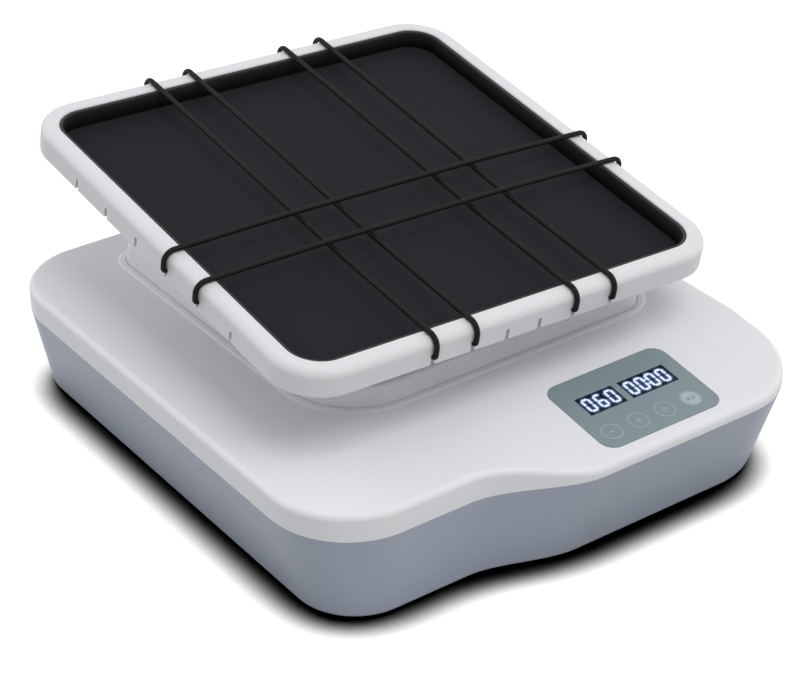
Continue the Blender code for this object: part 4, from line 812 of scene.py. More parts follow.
def makeDigits():
    look = digitLook
    form = panelForm
    top = -look['lensDrop']
    speedCentres = [form['speedX'] + look['speedPitch'] * step for step in (-1, 0, 1)]
    timerCentres = [form['timerX'] + place for place in look['timerPlaces']]
    lit = segmentPlaces('060', speedCentres) + segmentPlaces('0000', timerCentres)
    acrossLength = look['width'] - look['stroke'] - look['gap']
    uprightLength = (look['height'] - look['stroke']) / 2.0 - look['gap']
    groups = (('Across', [place for place in lit if place[2] == 0.0], acrossLength),
              ('Upright', [place for place in lit if place[2] != 0.0], uprightLength))
    # The upper layers are the narrower ones, and each rises by so many thicknesses
    for layer, width, level in look['layers']:
        longer = look[width] - look['stroke']
        for label, places, length in groups:
            shape = barShape(length + longer, look[width], level * look['thickness'])
            placeLit(scatter(layer + label, shape, [(x, y, top) for x, y, turn in places], layer,
                             [turn for x, y, turn in places]))
    dots = [(form['timerX'] + look['colonX'], form['windowY'] + side * look['colonHeight'], top)
            for side in (-1, 1)]
    dot = softRectangle(look['colonSize'], look['colonSize'], look['colonRadius'], look['dotSteps'])
    level = look['layers'][0][2]
    placeLit(scatter('litColon', loft(slab(dot, 0.0, level * look['thickness'])), dots, 'litSegment'))


def makeFilm():
    form = panelForm
    thickness = form['filmThickness']
    bevel = form['filmBevel']
    rings = slab(filmOutline(0.0, form['radius']), -thickness, -form['filmBevelDepth'])
    rings.append(atHeight(filmOutline(-bevel, form['radius'] - bevel), 0.0))
    film = newObject('controlFilm', loft(rings), panelPlace)
    carve(film, [loft(slab(window, -thickness - overrun, overrun))
                 for window in windowOutlines(0.0, form['windowRadius'])], panelPlace)
    finishPiece(film, 'panelFilm', 'base', ['control_overlay'])
    lenses = bmesh.new()
    for lens in windowOutlines(-form['lensGap'], form['lensRadius']):
        addLoft(lenses, slab(lens, -thickness, -digitLook['lensDrop']))
    finishPiece(newObject('displayLenses', lenses, panelPlace), 'smokedLens', 'base',
                ['speed_display', 'timer_display'])


keyLook = {
    'ringSides': 72,
    'discSides': 64,
    'dialSides': 40,
    'barSteps': 4,
    'barRounding': 0.8,
    'pauseSteps': 3,
    **inMm(
        centreX=-1.3, y=-15.6, pitch=17.1, radius=5.6, line=0.42, height=0.05, symbol=3.6, symbolLine=0.5,
        plusGap=0.05, discGap=0.25, markHeight=0.02, arrowLeft=2.3, arrowTip=0.1, arrowHalf=1.5,
        pausePlaces=(0.9, 2.1), pauseHalfWidth=0.35, pauseHalfHeight=1.4, pauseRadius=0.1,
    ),
    # The clock, as shares of half a symbol's width and of half a symbol line's width
    'dial': 0.9, 'dialLine': 1.4, 'handLine': 0.8, 'longHand': 0.3, 'longHandPlace': 0.33,
    'shortHand': 0.26, 'shortHandPlace': 0.3,
}


def ringLoft(builder, outer, inner, low, high):
    # A flat ring with a square section
    return addLoft(builder, [atHeight(inner, low), atHeight(outer, low), atHeight(outer, high),
                             atHeight(inner, high)], closed=True)


def flatBar(centre, halfWidth, halfDepth, height):
    radius = min(halfWidth, halfDepth) * keyLook['barRounding']
    return slab(softRectangle(halfWidth, halfDepth, radius, keyLook['barSteps'], centre), 0.0, height)


def makeTouchKeys():
    look = keyLook
    places = [(look['centreX'] + look['pitch'] * (step - 1.5), look['y']) for step in range(4)]
    minusKey, plusKey, clockKey, startKey = places
    inner = look['radius'] - look['line']
    height = look['height']
    sides = look['ringSides']
    ring = ringLoft(bmesh.new(), circle(look['radius'], sides), circle(inner, sides), 0.0, height)
    rings = scatter('touchKeyRings', ring, [(x, y, 0.0) for x, y in places], 'printedLine')
    marks = bmesh.new()
    reach = look['symbol'] / 2.0
    line = look['symbolLine'] / 2.0
    for key in (minusKey, plusKey):
        addLoft(marks, flatBar(key, reach, line, height))
    for side in (-1, 1):
        centre = (plusKey[0], plusKey[1] + side * (reach + line + look['plusGap']) / 2.0)
        addLoft(marks, flatBar(centre, line, (reach - line) / 2.0, height))
    x, y = clockKey
    dial, dialInner = [circle(radius, look['dialSides'], clockKey)
                       for radius in (reach * look['dial'], reach * look['dial'] - line * look['dialLine'])]
    ringLoft(marks, dial, dialInner, 0.0, height)
    hand = line * look['handLine']
    addLoft(marks, flatBar((x, y + reach * look['longHandPlace']), hand, reach * look['longHand'], height))
    addLoft(marks, flatBar((x + reach * look['shortHandPlace'], y), reach * look['shortHand'], hand, height))
    addLoft(marks, slab(circle(inner - look['discGap'], look['discSides'], startKey), 0.0, height))
    symbols = newObject('touchKeySymbols', marks)
    x, y = startKey
    outlines = [[(x - look['arrowLeft'], y - look['arrowHalf']), (x - look['arrowTip'], y),
                 (x - look['arrowLeft'], y + look['arrowHalf'])]]
    outlines += [softRectangle(look['pauseHalfWidth'], look['pauseHalfHeight'], look['pauseRadius'],
                               look['pauseSteps'], (x + place, y)) for place in look['pausePlaces']]
    raised = bmesh.new()
    for outline in outlines:
        addLoft(raised, slab(outline, height, height + look['markHeight']))
    startMark = newObject('startKeyMark', raised)
    for piece, finish in ((rings, 'printedLine'), (symbols, 'printedLine'), (startMark, 'panelFilm')):
        piece.data.transform(panelPlace)
        finishPiece(piece, finish, 'base', [])


makeFilm()
makeDigits()
makeTouchKeys()
print('control panel made')


# Tray with its liner and mat, in depths below the rim

trayLook = {
    'steps': 9,
    'skirtSteps': 4,
    'cornerSteps': 20,
    'flareSteps': 6,
    'crownSteps': 10,
    **inMm(
        rim=43.8, half=131.5, radius=27.0, rimWidth=9.65, wall=2.0, skirtWall=2.2, skirtDepth=14.4,
        rimThickness=2.5, outerFillet=4.2, innerFillet=1.0, skirtRounding=0.5,
        floorDepth=13.6, floorThickness=2.5,
        notchWidth=2.2, notchTop=8.0, notchFlare=1.1,
        sideNotches=(14.6, 43.8, 73.0), frontNotches=(10.0, 31.0, 55.1),
    ),
}
linerLook = {
    # The next two entries set the painted light on the liner's wall: its colour at the lip, and how steeply
    # it fades to the dark near the mat
    'paintedLipColour': (0.038, 0.038, 0.040),
    'paintedLightSteepness': 2.0,
    'lipSteps': 8,
    'lipBackSteps': 3,
    'matSteps': 4,
    **inMm(wall=1.5, floor=1.0, topDepth=0.5, lipRounding=1.1, lipBackRounding=0.3, matThickness=1.8,
           matRounding=0.35),
}


def trayRing(inset, depth):
    look = trayLook
    half = look['half'] - inset
    outline = softRectangle(half, half, look['radius'] - inset, look['cornerSteps'])
    return atHeight(outline, look['rim'] - depth)


def roundedOver(inset, depth, radius, start, end, steps):
    # Part of a turn round the centre at that inset and depth, from angle start to end
    rings = []
    for step in range(steps + 1):
        angle = start + (end - start) * step / steps
        rings.append(trayRing(inset - radius * math.cos(angle), depth - radius * math.sin(angle)))
    return rings


def notchCutter():
    # A slot with a rounded top, open at its foot, where it flares
    look = trayLook
    half = look['notchWidth'] / 2.0
    flare = look['notchFlare']
    reach = look['skirtWall'] / 2.0 + overrun
    foot = look['rim'] - look['skirtDepth']
    crown = look['rim'] - look['notchTop'] - half
    section = [(half + flare, foot - overrun), (half + flare, foot)]
    section += [(half + flare * (1.0 - math.sin(a)), foot + flare * (1.0 - math.cos(a)))
                for a in quarterAngles(look['flareSteps'])[1:]]
    section += [(half * math.cos(a), crown + half * math.sin(a))
                for a in quarterAngles(look['crownSteps'])[:-1]]
    section += [(0.0, crown + half)] + [(-x, z) for x, z in reversed(section)]
    return loft([[(x, y, z) for x, z in section] for y in (-reach, reach)])


def makeTray():
    look = trayLook
    steps = look['steps']
    wallBack = look['rimWidth'] - look['wall']
    inner = look['innerFillet']
    outer = look['outerFillet']
    skirt = look['skirtRounding']
    rings = [trayRing(look['rimWidth'], look['floorDepth'])]
    rings += roundedOver(look['rimWidth'] - inner, inner, inner, 2.0 * quarter, quarter, steps)
    rings += roundedOver(outer, outer, outer, quarter, 0.0, steps)
    rings += roundedOver(skirt, look['skirtDepth'] - skirt, skirt, 0.0, -quarter, look['skirtSteps'])
    rings += roundedOver(look['skirtWall'] - skirt, look['skirtDepth'] - skirt, skirt,
                         -quarter, -2.0 * quarter, look['skirtSteps'])
    rings += [trayRing(look['skirtWall'], look['rimThickness']), trayRing(wallBack, look['rimThickness'])]
    rings += [trayRing(wallBack, look['floorDepth'] + look['floorThickness'])]
    pan = newObject('trayPan', loft(rings))
    middleLine = look['half'] - look['skirtWall'] / 2.0
    places = []
    turns = []
    for side in (-1, 1):
        for direction in (-1, 1):
            for place in look['frontNotches']:
                places.append((direction * place, side * middleLine, 0.0))
                turns.append(0.0)
            for place in look['sideNotches']:
                places.append((side * middleLine, direction * place, 0.0))
                turns.append(quarter)
    cutOut(pan, [scatter('notchCutters', notchCutter(), places, 'whitePlastic', turns)])
    pan.data.transform(trayPlace)
    # The tray takes the darkened copy of the white plastic, which paints shade on it
    finishPiece(pan, 'trayPlastic', 'platform', ['tray'])


def paintLightTowardsLip(finish):
    # Painted light and shade: the liner's wall is painted lighter towards the lip and left dark near the mat,
    # where its shade falls
    look = linerLook
    tree = finish.node_tree
    shader = tree.nodes['Principled BSDF']
    ownColour = shader.inputs['Base Color'].links[0].from_socket
    place = next(node for node in tree.nodes if node.type == 'TEX_COORD').outputs['Object']
    up = trayPlace.to_3x3() @ Vector((0.0, 0.0, 1.0))
    height = addNode(tree, 'ShaderNodeVectorMath', {0: place, 1: up}, operation='DOT_PRODUCT')
    rimHeight = (trayPlace @ Vector((0.0, 0.0, trayLook['rim']))).dot(Vector(height.inputs[1].default_value))
    climb = addNode(tree, 'ShaderNodeMapRange', {
        'Value': height.outputs['Value'], 'From Max': rimHeight - look['topDepth'],
        'From Min': rimHeight - trayLook['floorDepth'] + look['matThickness']})
    paintedLight = worked(tree, 'POWER', climb.outputs['Result'], look['paintedLightSteepness'])
    feed(tree, shader, {'Base Color': mixed(tree, paintedLight, ownColour, opaque(look['paintedLipColour']))})


def makeLiner():
    look = linerLook
    # Paints light on the liner's finish towards the lip, leaving it dark near the mat as painted shade
    paintLightTowardsLip(finishes['glossBlack'])
    outer = trayLook['rimWidth'] + fitGap
    inner = outer + look['wall']
    under = trayLook['floorDepth'] - fitGap
    lip = look['lipRounding']
    lipBack = look['lipBackRounding']
    rings = [trayRing(inner, under - look['floor'])]
    rings += roundedOver(inner - lip, look['topDepth'] + lip, lip, 2.0 * quarter, quarter, look['lipSteps'])
    rings += roundedOver(outer + lipBack, look['topDepth'] + lipBack, lipBack, quarter, 0.0,
                         look['lipBackSteps'])
    rings.append(trayRing(outer, under))
    liner = newObject('trayLiner', loft(rings), trayPlace)
    finishPiece(liner, 'glossBlack', 'platform', ['tray_liner'])
    matFoot = under - look['floor'] - fitGap
    edge = inner + fitGap
    soft = look['matRounding']
    rings = [trayRing(edge, matFoot)]
    rings += roundedOver(edge + soft, matFoot - look['matThickness'] + soft, soft, 0.0, quarter,
                         look['matSteps'])
    mat = newObject('trayMat', loft(rings), trayPlace)
    finishPiece(mat, 'softMat', 'platform', ['tray_mat'])


makeTray()
makeLiner()
print('tray made')


# Elastic bands: each is one loop of two strands, hooked through two notches at each end

bandLook = {
    'steps': 9,
    'strandSteps': 30,
    'sides': 20,
    'narrowingPace': 1.4,       # the cord has narrowed before the end of its bend
    **inMm(radius=1.4, strandRadius=1.0, strandNarrowing=14.0, neckRadius=0.8, backRadius=1.15, bend=1.9,
           turn=1.5, neckLength=1.9, rimBend=4.0, crossShift=1.6),
}


def hookPoints(across, toward):
    # Run, across, height and radius: over the rim, down to the notch, through it and behind the skirt
    look = bandLook
    tray = trayLook
    steps = look['steps']
    standoff = look['radius'] + fitGap
    edge = tray['half'] - look['rimBend']
    rimBend = look['rimBend'] + standoff
    rimLow = tray['rim'] - look['rimBend']
    points = []
    for step in range(steps + 1):
        angle = quarter * (1.0 - step / steps)
        points.append((edge + rimBend * math.cos(angle), across, rimLow + rimBend * math.sin(angle),
                       look['radius']))
    face = tray['half'] + standoff
    neckHeight = tray['rim'] - tray['notchTop'] - 2.0 * fitGap - look['neckRadius']
    bendStart = neckHeight + look['bend']
    points.append((face, across, bendStart + look['neckLength'], look['radius']))
    for step, angle in enumerate(quarterAngles(steps)):
        share = smoothShare(step / steps * look['narrowingPace'])
        radius = look['radius'] + (look['neckRadius'] - look['radius']) * share
        points.append((face - look['bend'] * (1.0 - math.cos(angle)), across,
                       bendStart - look['bend'] * math.sin(angle), radius))
    channel = tray['half'] - (tray['skirtWall'] + tray['rimWidth'] - tray['wall']) / 2.0
    for step, angle in enumerate(quarterAngles(steps)):
        share = (step / steps) ** 2
        points.append((channel + look['turn'] * (1.0 - math.sin(angle)),
                       across + toward * look['turn'] * (1.0 - math.cos(angle)), neckHeight,
                       look['neckRadius'] + (look['backRadius'] - look['neckRadius']) * share))
    return points


def strandPoints(across, toward, span, shift):
    # One strand from its front hook to its rear hook, lifted or lowered evenly where strands cross
    look = bandLook
    hook = hookPoints(across, toward)
    top = trayLook['rim'] + look['radius'] + fitGap
    edge = trayLook['half'] - look['rimBend']
    low, high = span
    middlePart = []
    for step in range(1, look['strandSteps']):
        run = -edge + 2.0 * edge * step / look['strandSteps']
        if run < low:
            share = (run + edge) / (low + edge)
        elif run > high:
            share = (edge - run) / (edge - high)
        else:
            share = 1.0
        narrowed = smoothShare((edge - abs(run)) / look['strandNarrowing'])
        radius = look['radius'] + (look['strandRadius'] - look['radius']) * narrowed
        middlePart.append((run, across, top + shift * share, radius))
    front = [(-run, side, height, radius) for run, side, height, radius in reversed(hook)]
    return front + middlePart + hook


def makeBand(name, node, strands, span, shift, lengthwise):
    first, second = strands
    points = strandPoints(first, 1.0, span, shift) + list(reversed(strandPoints(second, -1.0, span, shift)))
    curve = bpy.data.curves.new(name, 'CURVE')
    curve.dimensions = '3D'
    curve.twist_mode = 'MINIMUM'
    spline = curve.splines.new('POLY')
    spline.points.add(len(points) - 1)
    spline.use_cyclic_u = True
    for target, (run, across, height, radius) in zip(spline.points, points):
        x, y = (across, run) if lengthwise else (run, across)
        target.co = (*(trayPlace @ Vector((x, y, height))), 1.0)
        target.radius = radius / bandLook['radius']
    values = {'Thickness': bandLook['radius'], 'Sides': bandLook['sides'], 'Finish': finishes['elasticCord']}
    loop = runTree(addObject(name, curve), tubeAlongCurve, values)
    finishPiece(loop, 'elasticCord', 'platform', [node], 60.0)


def makeBands():
    inner, outer = trayLook['frontNotches'][1:]
    near, far = trayLook['sideNotches'][:2]
    shift = bandLook['crossShift']
    reach = outer + bandLook['radius']
    makeBand('bandLeft', 'band_left', (-outer, -inner), (-far, -near), -shift, True)
    makeBand('bandRight', 'band_right', (inner, outer), (-far, -near), -shift, True)
    makeBand('bandCross', 'band_cross', (-far, -near), (-reach, reach), shift, False)


makeBands()
print('bands made')


# Screws, all driven up from below

screwLook = {'slotWidthShare': 0.26, 'slotLengthShare': 1.1, **inMm(head=3.6, height=2.4, shank=2.0)}


def numbered(stem):
    return [f'{stem}_{number}' for number in range(1, 5)]


def makeScrews(name, nodes, body, place):
    # Heads stand where the solids' heads stand, in the frame that they were driven in
    look = screwLook
    solids = [localPoints(node, place) for node in nodes]
    feet = [min(point.z for point in points) for points in solids]
    centres = [sum(points, Vector()) / len(points) for points in solids]
    places = [(centre.x, centre.y, foot) for centre, foot in zip(centres, feet)]
    length = max(point.z for point in solids[0]) - feet[0] - look['height']
    values = {'Head radius': look['head'], 'Head height': look['height'], 'Shank radius': look['shank'],
              'Shank length': length, 'Slot width': look['head'] * look['slotWidthShare'],
              'Slot length': look['head'] * look['slotLengthShare'], 'Finish': finishes['zincSteel']}
    screws = runTree(pointsObject(name, places), screwsOnPoints, values)
    screws.data.transform(place)
    finishPiece(screws, 'zincSteel', body, nodes, 40.0)


makeScrews('caseScrews', numbered('case_screw'), 'base', Matrix.Identity(4))
makeScrews('hubScrews', numbered('hub_screw'), 'platform', trayPlace)
makeScrews('trayScrews', numbered('tray_screw'), 'platform', trayPlace)
print('screws made')


# Round pieces under the tray and under the base

turnedSides = {'wide': 96, 'shoe': 64, 'pin': 48}
hubLook = inMm(tube=19.0, flangeThickness=4.0, bore=14.3, footWall=1.7, footBore=10.0, rounding=0.4)
sealLook = inMm(bore=18.8, neck=23.0, flangeThickness=1.5, lipWidth=1.2, lipFoot=0.7, lipDepth=0.8,
                rounding=0.3)
footLook = inMm(grooveRadius=5.2, grooveWidth=1.2, grooveDepth=0.5, rounding=0.45)
guideLook = inMm(pinBevel=0.8, armBevel=0.6, rounding=0.2, shoeRounding=0.8)


def turnedPiece(name, profile, place, finish, body, node, closed, rounding, size='wide'):
    sides = turnedSides[size]
    rings = [atHeight(circle(radius, sides), z) for radius, z in soften(profile, rounding, closed)]
    finishPiece(newObject(name, loft(rings, closed), place), finish, body, [node])


def rimProfile(node, place):
    # Lowest and highest height and the outer radius of a round solid in its own frame
    points = localPoints(node, place)
    return min(p.z for p in points), max(p.z for p in points), max(math.hypot(p.x, p.y) for p in points)


def uprightProfile(node):
    # Place, lowest and highest height and radius of a round solid that stands upright
    low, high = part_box(node)
    centre = middle(node)
    return Matrix.Translation((centre.x, centre.y, 0.0)), low.z, high.z, (high.x - low.x) / 2.0


def makeHub():
    look = hubLook
    low, high, radius = rimProfile('hub', trayPlace)
    flangeFoot = high - look['flangeThickness']
    bearingSeat = low + look['footWall']
    profile = [(look['footBore'], low), (look['tube'], low), (look['tube'], flangeFoot), (radius, flangeFoot),
               (radius, high), (look['bore'], high), (look['bore'], bearingSeat),
               (look['footBore'], bearingSeat)]
    turnedPiece('hubBody', profile, trayPlace, 'turnedAluminium', 'platform', 'hub', True,
                look['rounding'])


def makeSeal():
    look = sealLook
    low, high, radius = rimProfile('spindle_seal', spindlePlace)
    bore = look['bore']
    shelf = high - look['flangeThickness']
    lipLow = high - look['lipDepth']
    profile = [(bore, low), (look['neck'], low), (look['neck'], shelf), (radius, shelf), (radius, high),
               (bore + look['lipWidth'], high), (bore + look['lipFoot'], lipLow), (bore, lipLow)]
    turnedPiece('spindleSeal', profile, spindlePlace, 'footRubber', 'base', 'spindle_seal',
                True, look['rounding'])


def makeFeet():
    look = footLook
    groove = look['grooveRadius']
    bore = groove - look['grooveWidth']
    for node in footNodes:
        place, low, high, radius = uprightProfile(node)
        grooveTop = low + look['grooveDepth']
        profile = [(bore, low), (bore, grooveTop), (groove, grooveTop), (groove, low), (radius, low),
                   (radius, high)]
        name = 'rubber' + ''.join(word.title() for word in node.split('_'))
        turnedPiece(name, profile, place, 'footRubber', 'base', node, False, look['rounding'])


def makeGuide():
    look = guideLook
    bevel = look['pinBevel']
    for node, name in (('guide_pin_left', 'guidePinLeft'), ('guide_pin_right', 'guidePinRight')):
        place, low, high, radius = uprightProfile(node)
        profile = [(radius, low), (radius, high - bevel), (radius - bevel, high)]
        turnedPiece(name, profile, place, 'groundSteel', 'base', node, False,
                    look['rounding'], 'pin')
    alongArm = trayPlace @ Matrix.Rotation(-quarter, 4, 'X')
    low, high, radius = rimProfile('guide_arm', alongArm)
    profile = [(radius, low), (radius, high - look['armBevel']), (radius - look['armBevel'], high)]
    turnedPiece('guideArm', profile, alongArm, 'groundSteel', 'platform', 'guide_arm', False,
                look['rounding'], 'pin')
    low, high, outer = rimProfile('guide_shoe', alongArm)
    bore = radius + fitGap
    profile = [(bore, low), (outer, low), (outer, high), (bore, high)]
    turnedPiece('guideShoe', profile, alongArm, 'ivoryNylon', 'platform', 'guide_shoe', True,
                look['shoeRounding'], 'shoe')


makeHub()
makeSeal()
makeFeet()
makeGuide()
print('round pieces made')


# Support plate, mains inlet and power switch

plateLook = {'steps': 3, 'cornerSteps': 12, **inMm(half=90.0, radius=15.0, rounding=0.4)}
socketSteps = {'edge': 4, 'pin': 4}
inletLook = inMm(
    flange=(31.0, 25.0), body=(27.0, 20.0), pocket=(23.4, 15.8), flangeThickness=1.4, bodyDepth=20.0,
    pocketDepth=15.5, radius=2.5, edge=0.5, mouthBevel=0.4, pinPitch=7.0, pinOffset=2.0, pinRecess=5.5,
    pinHalf=(1.0, 2.0), pinRadius=0.3, tipHalf=(0.6, 1.5), tipRadius=0.2, tipLength=0.8,
)
switchLook = {
    'rest': math.radians(10.0),
    'crownSteps': 24,
    'barSteps': 3,
    'ringSides': 40,
    **inMm(
        flange=(15.0, 21.0), body=(12.4, 18.6), pocket=(9.0, 14.4), bodyDepth=14.0, pocketDepth=8.0,
        radius=1.5, edge=0.5, mouthBevel=0.4, rockerWidth=8.2, rockerHalf=6.0, rockerRounding=0.35,
        footHalf=5.0, footDepth=1.8, pivotDepth=2.0, crown=2.2, dip=1.3,
        markPlace=3.6, barHalf=(1.3, 0.22), barRadius=0.1, ringOuter=1.15, ringInner=0.8, markHeight=0.03,
    ),
}


def makeSupportPlate():
    look = plateLook
    low, high = rimProfile('support_plate', trayPlace)[:2]
    soft = look['rounding']
    rings = []
    for foot, turnFrom in ((low + soft, -1.0), (high - soft, 0.0)):
        for step in range(look['steps'] + 1):
            angle = (turnFrom + step / look['steps']) * quarter
            inset = soft * (1.0 - math.cos(angle))
            half = look['half'] - inset
            outline = softRectangle(half, half, look['radius'] - inset, look['cornerSteps'])
            rings.append(atHeight(outline, foot + soft * math.sin(angle)))
    plate = newObject('supportPlate', loft(rings), trayPlace)
    finishPiece(plate, 'turnedAluminium', 'platform', ['support_plate'])


def grown(size, growth, radius):
    return softRectangle(size[0] / 2.0 + growth, size[1] / 2.0 + growth, radius)


def socketRings(look):
    # Pocket floor, pocket mouth, flange and body, with the flange's front edge rounded
    face = fitGap + inletLook['flangeThickness']
    edge = look['edge']
    radius = look['radius']
    bevel = look['mouthBevel']
    rings = slab(grown(look['pocket'], 0.0, radius), face - look['pocketDepth'], face - bevel)
    rings.append(atHeight(grown(look['pocket'], bevel, radius + bevel), face))
    for angle in quarterAngles(socketSteps['edge']):
        inset = edge * (1.0 - math.sin(angle))
        outline = grown(look['flange'], -inset, radius + edge - inset)
        rings.append(atHeight(outline, face - edge * (1.0 - math.cos(angle))))
    rings.append(atHeight(grown(look['flange'], 0.0, radius + edge), fitGap))
    return rings + slab(grown(look['body'], 0.0, radius), fitGap, face - look['bodyDepth'])


def makeInlet():
    look = inletLook
    inlet = newObject('mainsInlet', loft(socketRings(look)), inletPlace)
    finishPiece(inlet, 'mouldedBlack', 'base', ['power_inlet'])
    face = fitGap + look['flangeThickness']
    tip = face - look['pinRecess']
    shaft = softRectangle(*look['pinHalf'], look['pinRadius'], socketSteps['pin'])
    point = softRectangle(*look['tipHalf'], look['tipRadius'], socketSteps['pin'])
    pin = loft(slab(shaft, face - look['pocketDepth'], tip - look['tipLength']) + [atHeight(point, tip)])
    pitch = look['pinPitch']
    offset = look['pinOffset']
    places = [(-pitch, offset, 0.0), (0.0, -offset, 0.0), (pitch, offset, 0.0)]
    pins = scatter('inletPins', pin, places, 'groundSteel')
    pins.data.transform(inletPlace)
    finishPiece(pins, 'groundSteel', 'base', [])


def makeSwitch():
    look = switchLook
    half = look['rockerHalf']

    def crownHeight(y):
        return look['dip'] + (look['crown'] - look['dip']) * (y / half) ** 2

    def onCrown(outline, lift):
        return [(x, y, crownHeight(y) + lift) for x, y in outline]

    switch = newObject('switchFrame', loft(socketRings(look)), switchPlace)
    finishPiece(switch, 'mouldedBlack', 'base', ['power_switch_body'])
    pivotDepth = fitGap + inletLook['flangeThickness'] - look['pivotDepth']
    rockerPlace = switchPlace @ Matrix.Translation((0, 0, pivotDepth)) @ Matrix.Rotation(look['rest'], 4, 'X')
    steps = look['crownSteps']
    crest = [half * (-1.0 + 2.0 * step / steps) for step in range(steps + 1)]
    profile = [(y, crownHeight(y)) for y in crest]
    profile += [(look['footHalf'], -look['footDepth']), (-look['footHalf'], -look['footDepth'])]
    width = look['rockerWidth'] / 2.0
    soft = look['rockerRounding']
    rings = []
    for x, shrink in ((-width, soft), (-width + soft, 0.0), (width - soft, 0.0), (width, soft)):
        rings.append([(x, y * (1.0 - shrink / half), z - math.copysign(shrink, z)) for y, z in profile])
    rocker = newObject('switchRocker', loft(rings), rockerPlace)
    finishPiece(rocker, 'mouldedBlack', 'rocker', ['power_rocker'])
    lift = look['markHeight']
    bar = softRectangle(*look['barHalf'], look['barRadius'], look['barSteps'], (0.0, look['markPlace']))
    outer, inner = [circle(look[size], look['ringSides'], (0.0, -look['markPlace']))
                    for size in ('ringOuter', 'ringInner')]
    marks = loft([onCrown(bar, 0.0), onCrown(bar, lift)])
    addLoft(marks, [onCrown(inner, 0.0), onCrown(outer, 0.0), onCrown(outer, lift), onCrown(inner, lift)],
            closed=True)
    finishPiece(newObject('switchMarks', marks, rockerPlace), 'whiteMark', 'rocker', [])


makeSupportPlate()
makeInlet()
makeSwitch()
print('plate, inlet and switch made')


# Solids that stay as they are, mostly inside the case, get their finishes

keptFinishes = {
    'zincSteel': ['chassis_plate', 'motor_bracket', 'counterweight', 'stub_nut', *numbered('chassis_screw')],
    'turnedAluminium': ['spindle_housing', 'guide_block', 'power_supply', 'large_pulley', 'motor_pulley'],
    'groundSteel': ['spindle_bearing_lower', 'spindle_bearing_upper', 'crank_spindle', 'motor_shaft',
                    'hub_bearing_lower', 'hub_bearing_upper'],
    'paintedMotor': ['motor_body'],
    'elasticCord': ['drive_belt'],
    'boardGreen': ['control_board'],
}
for finish, nodes in keptFinishes.items():
    for node in nodes:
        materials = frame['nodes'][node].data.materials
        materials.clear()
        materials.append(finishes[finish])
print('kept solids finished')


# Floor, light and camera

studioLook = {
    'floorSize': 8.0,
    'floorColour': (0.45, 0.45, 0.45),
    'floorBounce': (0.50, 0.50, 0.50),
    'floorRoughness': 0.9,
    'floorGlow': 0.80,
    # The contact entries shape the shadow painted on the floor round the base
    'contactReach': 27.0 * mm,      # how far from the base the floor darkens
    'contactLean': (0.420, 0.520, 0.744),      # the shadow is wider on the side that this leans away from
    'contactDark': 0.38,
    'contactClear': 0.84,
    'contactSamples': 48,
    'worldColour': (0.97, 0.98, 1.0),
    'worldStrength': 0.51,
}
lampAim = (0.0, 0.0, 0.05)
lampLooks = {
    'frontLamp': {'place': (0.0, -1.6, 2.772), 'size': 1.8, 'power': 46.8, 'colour': (1.0, 0.99, 0.98)},
    'rightLamp': {'place': (2.73, -0.482, 1.6), 'size': 1.8, 'power': 22.4, 'colour': (1.0, 0.99, 0.98)},
    'backLamp': {'place': (-1.172, 2.512, 1.6), 'size': 1.8, 'power': 31.2, 'colour': (0.97, 0.98, 1.0)},
    'leftLamp': {'place': (-2.676, 0.718, 1.6), 'size': 1.8, 'power': 4.0, 'colour': (0.97, 0.98, 1.0)},
}
cameraLook = {
    'place': (-0.6206, -0.85715, 0.6826),
    'right': (0.8079, -0.5893, 0.0),
    'up': (0.3061, 0.4196, 0.8545),
    'back': (-0.5036, -0.6903, 0.5194),
    'lens': 103.76,
    'sensor': 36.0,
}
black = (0.0, 0.0, 0.0)
white = (1.0, 1.0, 1.0)


def seenRays(tree):
    # 1 where the camera looks straight, in a gloss or through glass, so that the background shows there too
    rays = addNode(tree, 'ShaderNodeLightPath', {}).outputs
    mirrored = worked(tree, 'MAXIMUM', rays['Is Camera Ray'], rays['Is Glossy Ray'])
    return worked(tree, 'MAXIMUM', mirrored, rays['Is Transmission Ray'])


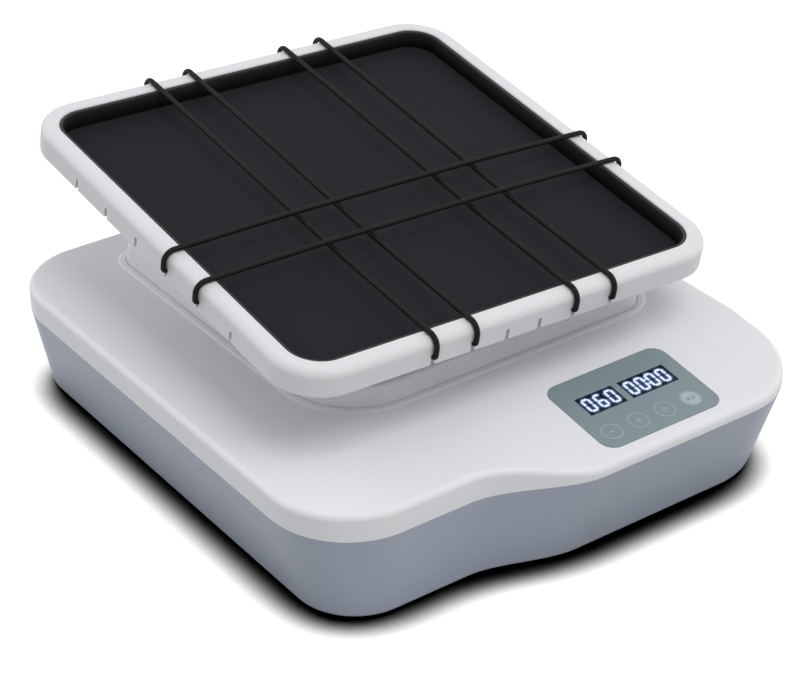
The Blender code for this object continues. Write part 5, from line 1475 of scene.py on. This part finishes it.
def makeFloor():
    look = studioLook
    half = look['floorSize'] / 2.0
    builder = bmesh.new()
    corners = ((-half, -half), (half, -half), (half, half), (-half, half))
    builder.faces.new([builder.verts.new((x, y, 0.0)) for x, y in corners])
    floor = newObject('studioFloor', builder)
    surface, tree, shader = newMaterial('studioFloor')
    seen = seenRays(tree)

    # Painted shadow: the floor's colour and glow are darkened where the base stands close over it, as the
    # base's contact shadow
    lean = addNode(tree, 'ShaderNodeCombineXYZ', dict(zip('XYZ', look['contactLean'])))
    closeness = addNode(tree, 'ShaderNodeAmbientOcclusion', {
        'Distance': look['contactReach'], 'Normal': lean.outputs['Vector']}, samples=look['contactSamples'])
    paintedContactShadow = addNode(tree, 'ShaderNodeMapRange', {
        'Value': closeness.outputs['AO'], 'From Min': look['contactDark'], 'From Max': look['contactClear']},
        interpolation_type='SMOOTHSTEP').outputs['Result']
    dimmed = mixed(tree, paintedContactShadow, opaque(black), opaque(look['floorColour']))
    glow = worked(tree, 'MULTIPLY', paintedContactShadow, look['floorGlow'])
    feed(tree, shader, {
        'Base Color': mixed(tree, seen, opaque(look['floorBounce']), dimmed),
        'Roughness': look['floorRoughness'], 'Specular IOR Level': 0.0,
        'Emission Color': opaque(white), 'Emission Strength': worked(tree, 'MULTIPLY', glow, seen)})
    floor.data.materials.append(surface)


def makeWorld():
    look = studioLook
    world = bpy.data.worlds.new('studioWorld')
    bpy.context.scene.world = world
    world.use_nodes = True
    tree = world.node_tree
    light = tree.nodes['Background']
    feed(tree, light, {'Color': opaque(look['worldColour']), 'Strength': look['worldStrength']})
    backdrop = addNode(tree, 'ShaderNodeBackground', {'Color': opaque(white)})
    mix = addNode(tree, 'ShaderNodeMixShader', {
        'Fac': seenRays(tree), 1: light.outputs['Background'], 2: backdrop.outputs['Background']})
    feed(tree, tree.nodes['World Output'], {'Surface': mix.outputs['Shader']})


def makeLamps():
    for name, look in lampLooks.items():
        data = bpy.data.lights.new(name, 'AREA')
        data.shape = 'SQUARE'
        data.size = look['size']
        data.energy = look['power']
        data.color = look['colour']
        lamp = addObject(name, data)
        lamp.location = look['place']
        aim = Vector(lampAim) - Vector(look['place'])
        lamp.rotation_mode = 'QUATERNION'
        lamp.rotation_quaternion = aim.to_track_quat('-Z', 'Y')


def makeCamera():
    look = cameraLook
    data = bpy.data.cameras.new('photoCamera')
    data.lens = look['lens']
    data.sensor_width = look['sensor']
    data.sensor_fit = 'HORIZONTAL'
    camera = addObject('photoCamera', data)
    turn = Matrix((look['right'], look['up'], look['back'])).transposed()
    camera.matrix_world = Matrix.Translation(look['place']) @ turn.to_4x4()
    bpy.context.scene.camera = camera


makeFloor()
makeWorld()
makeLamps()
makeCamera()
bpy.context.scene.view_settings.view_transform = 'Standard'
print('studio made')
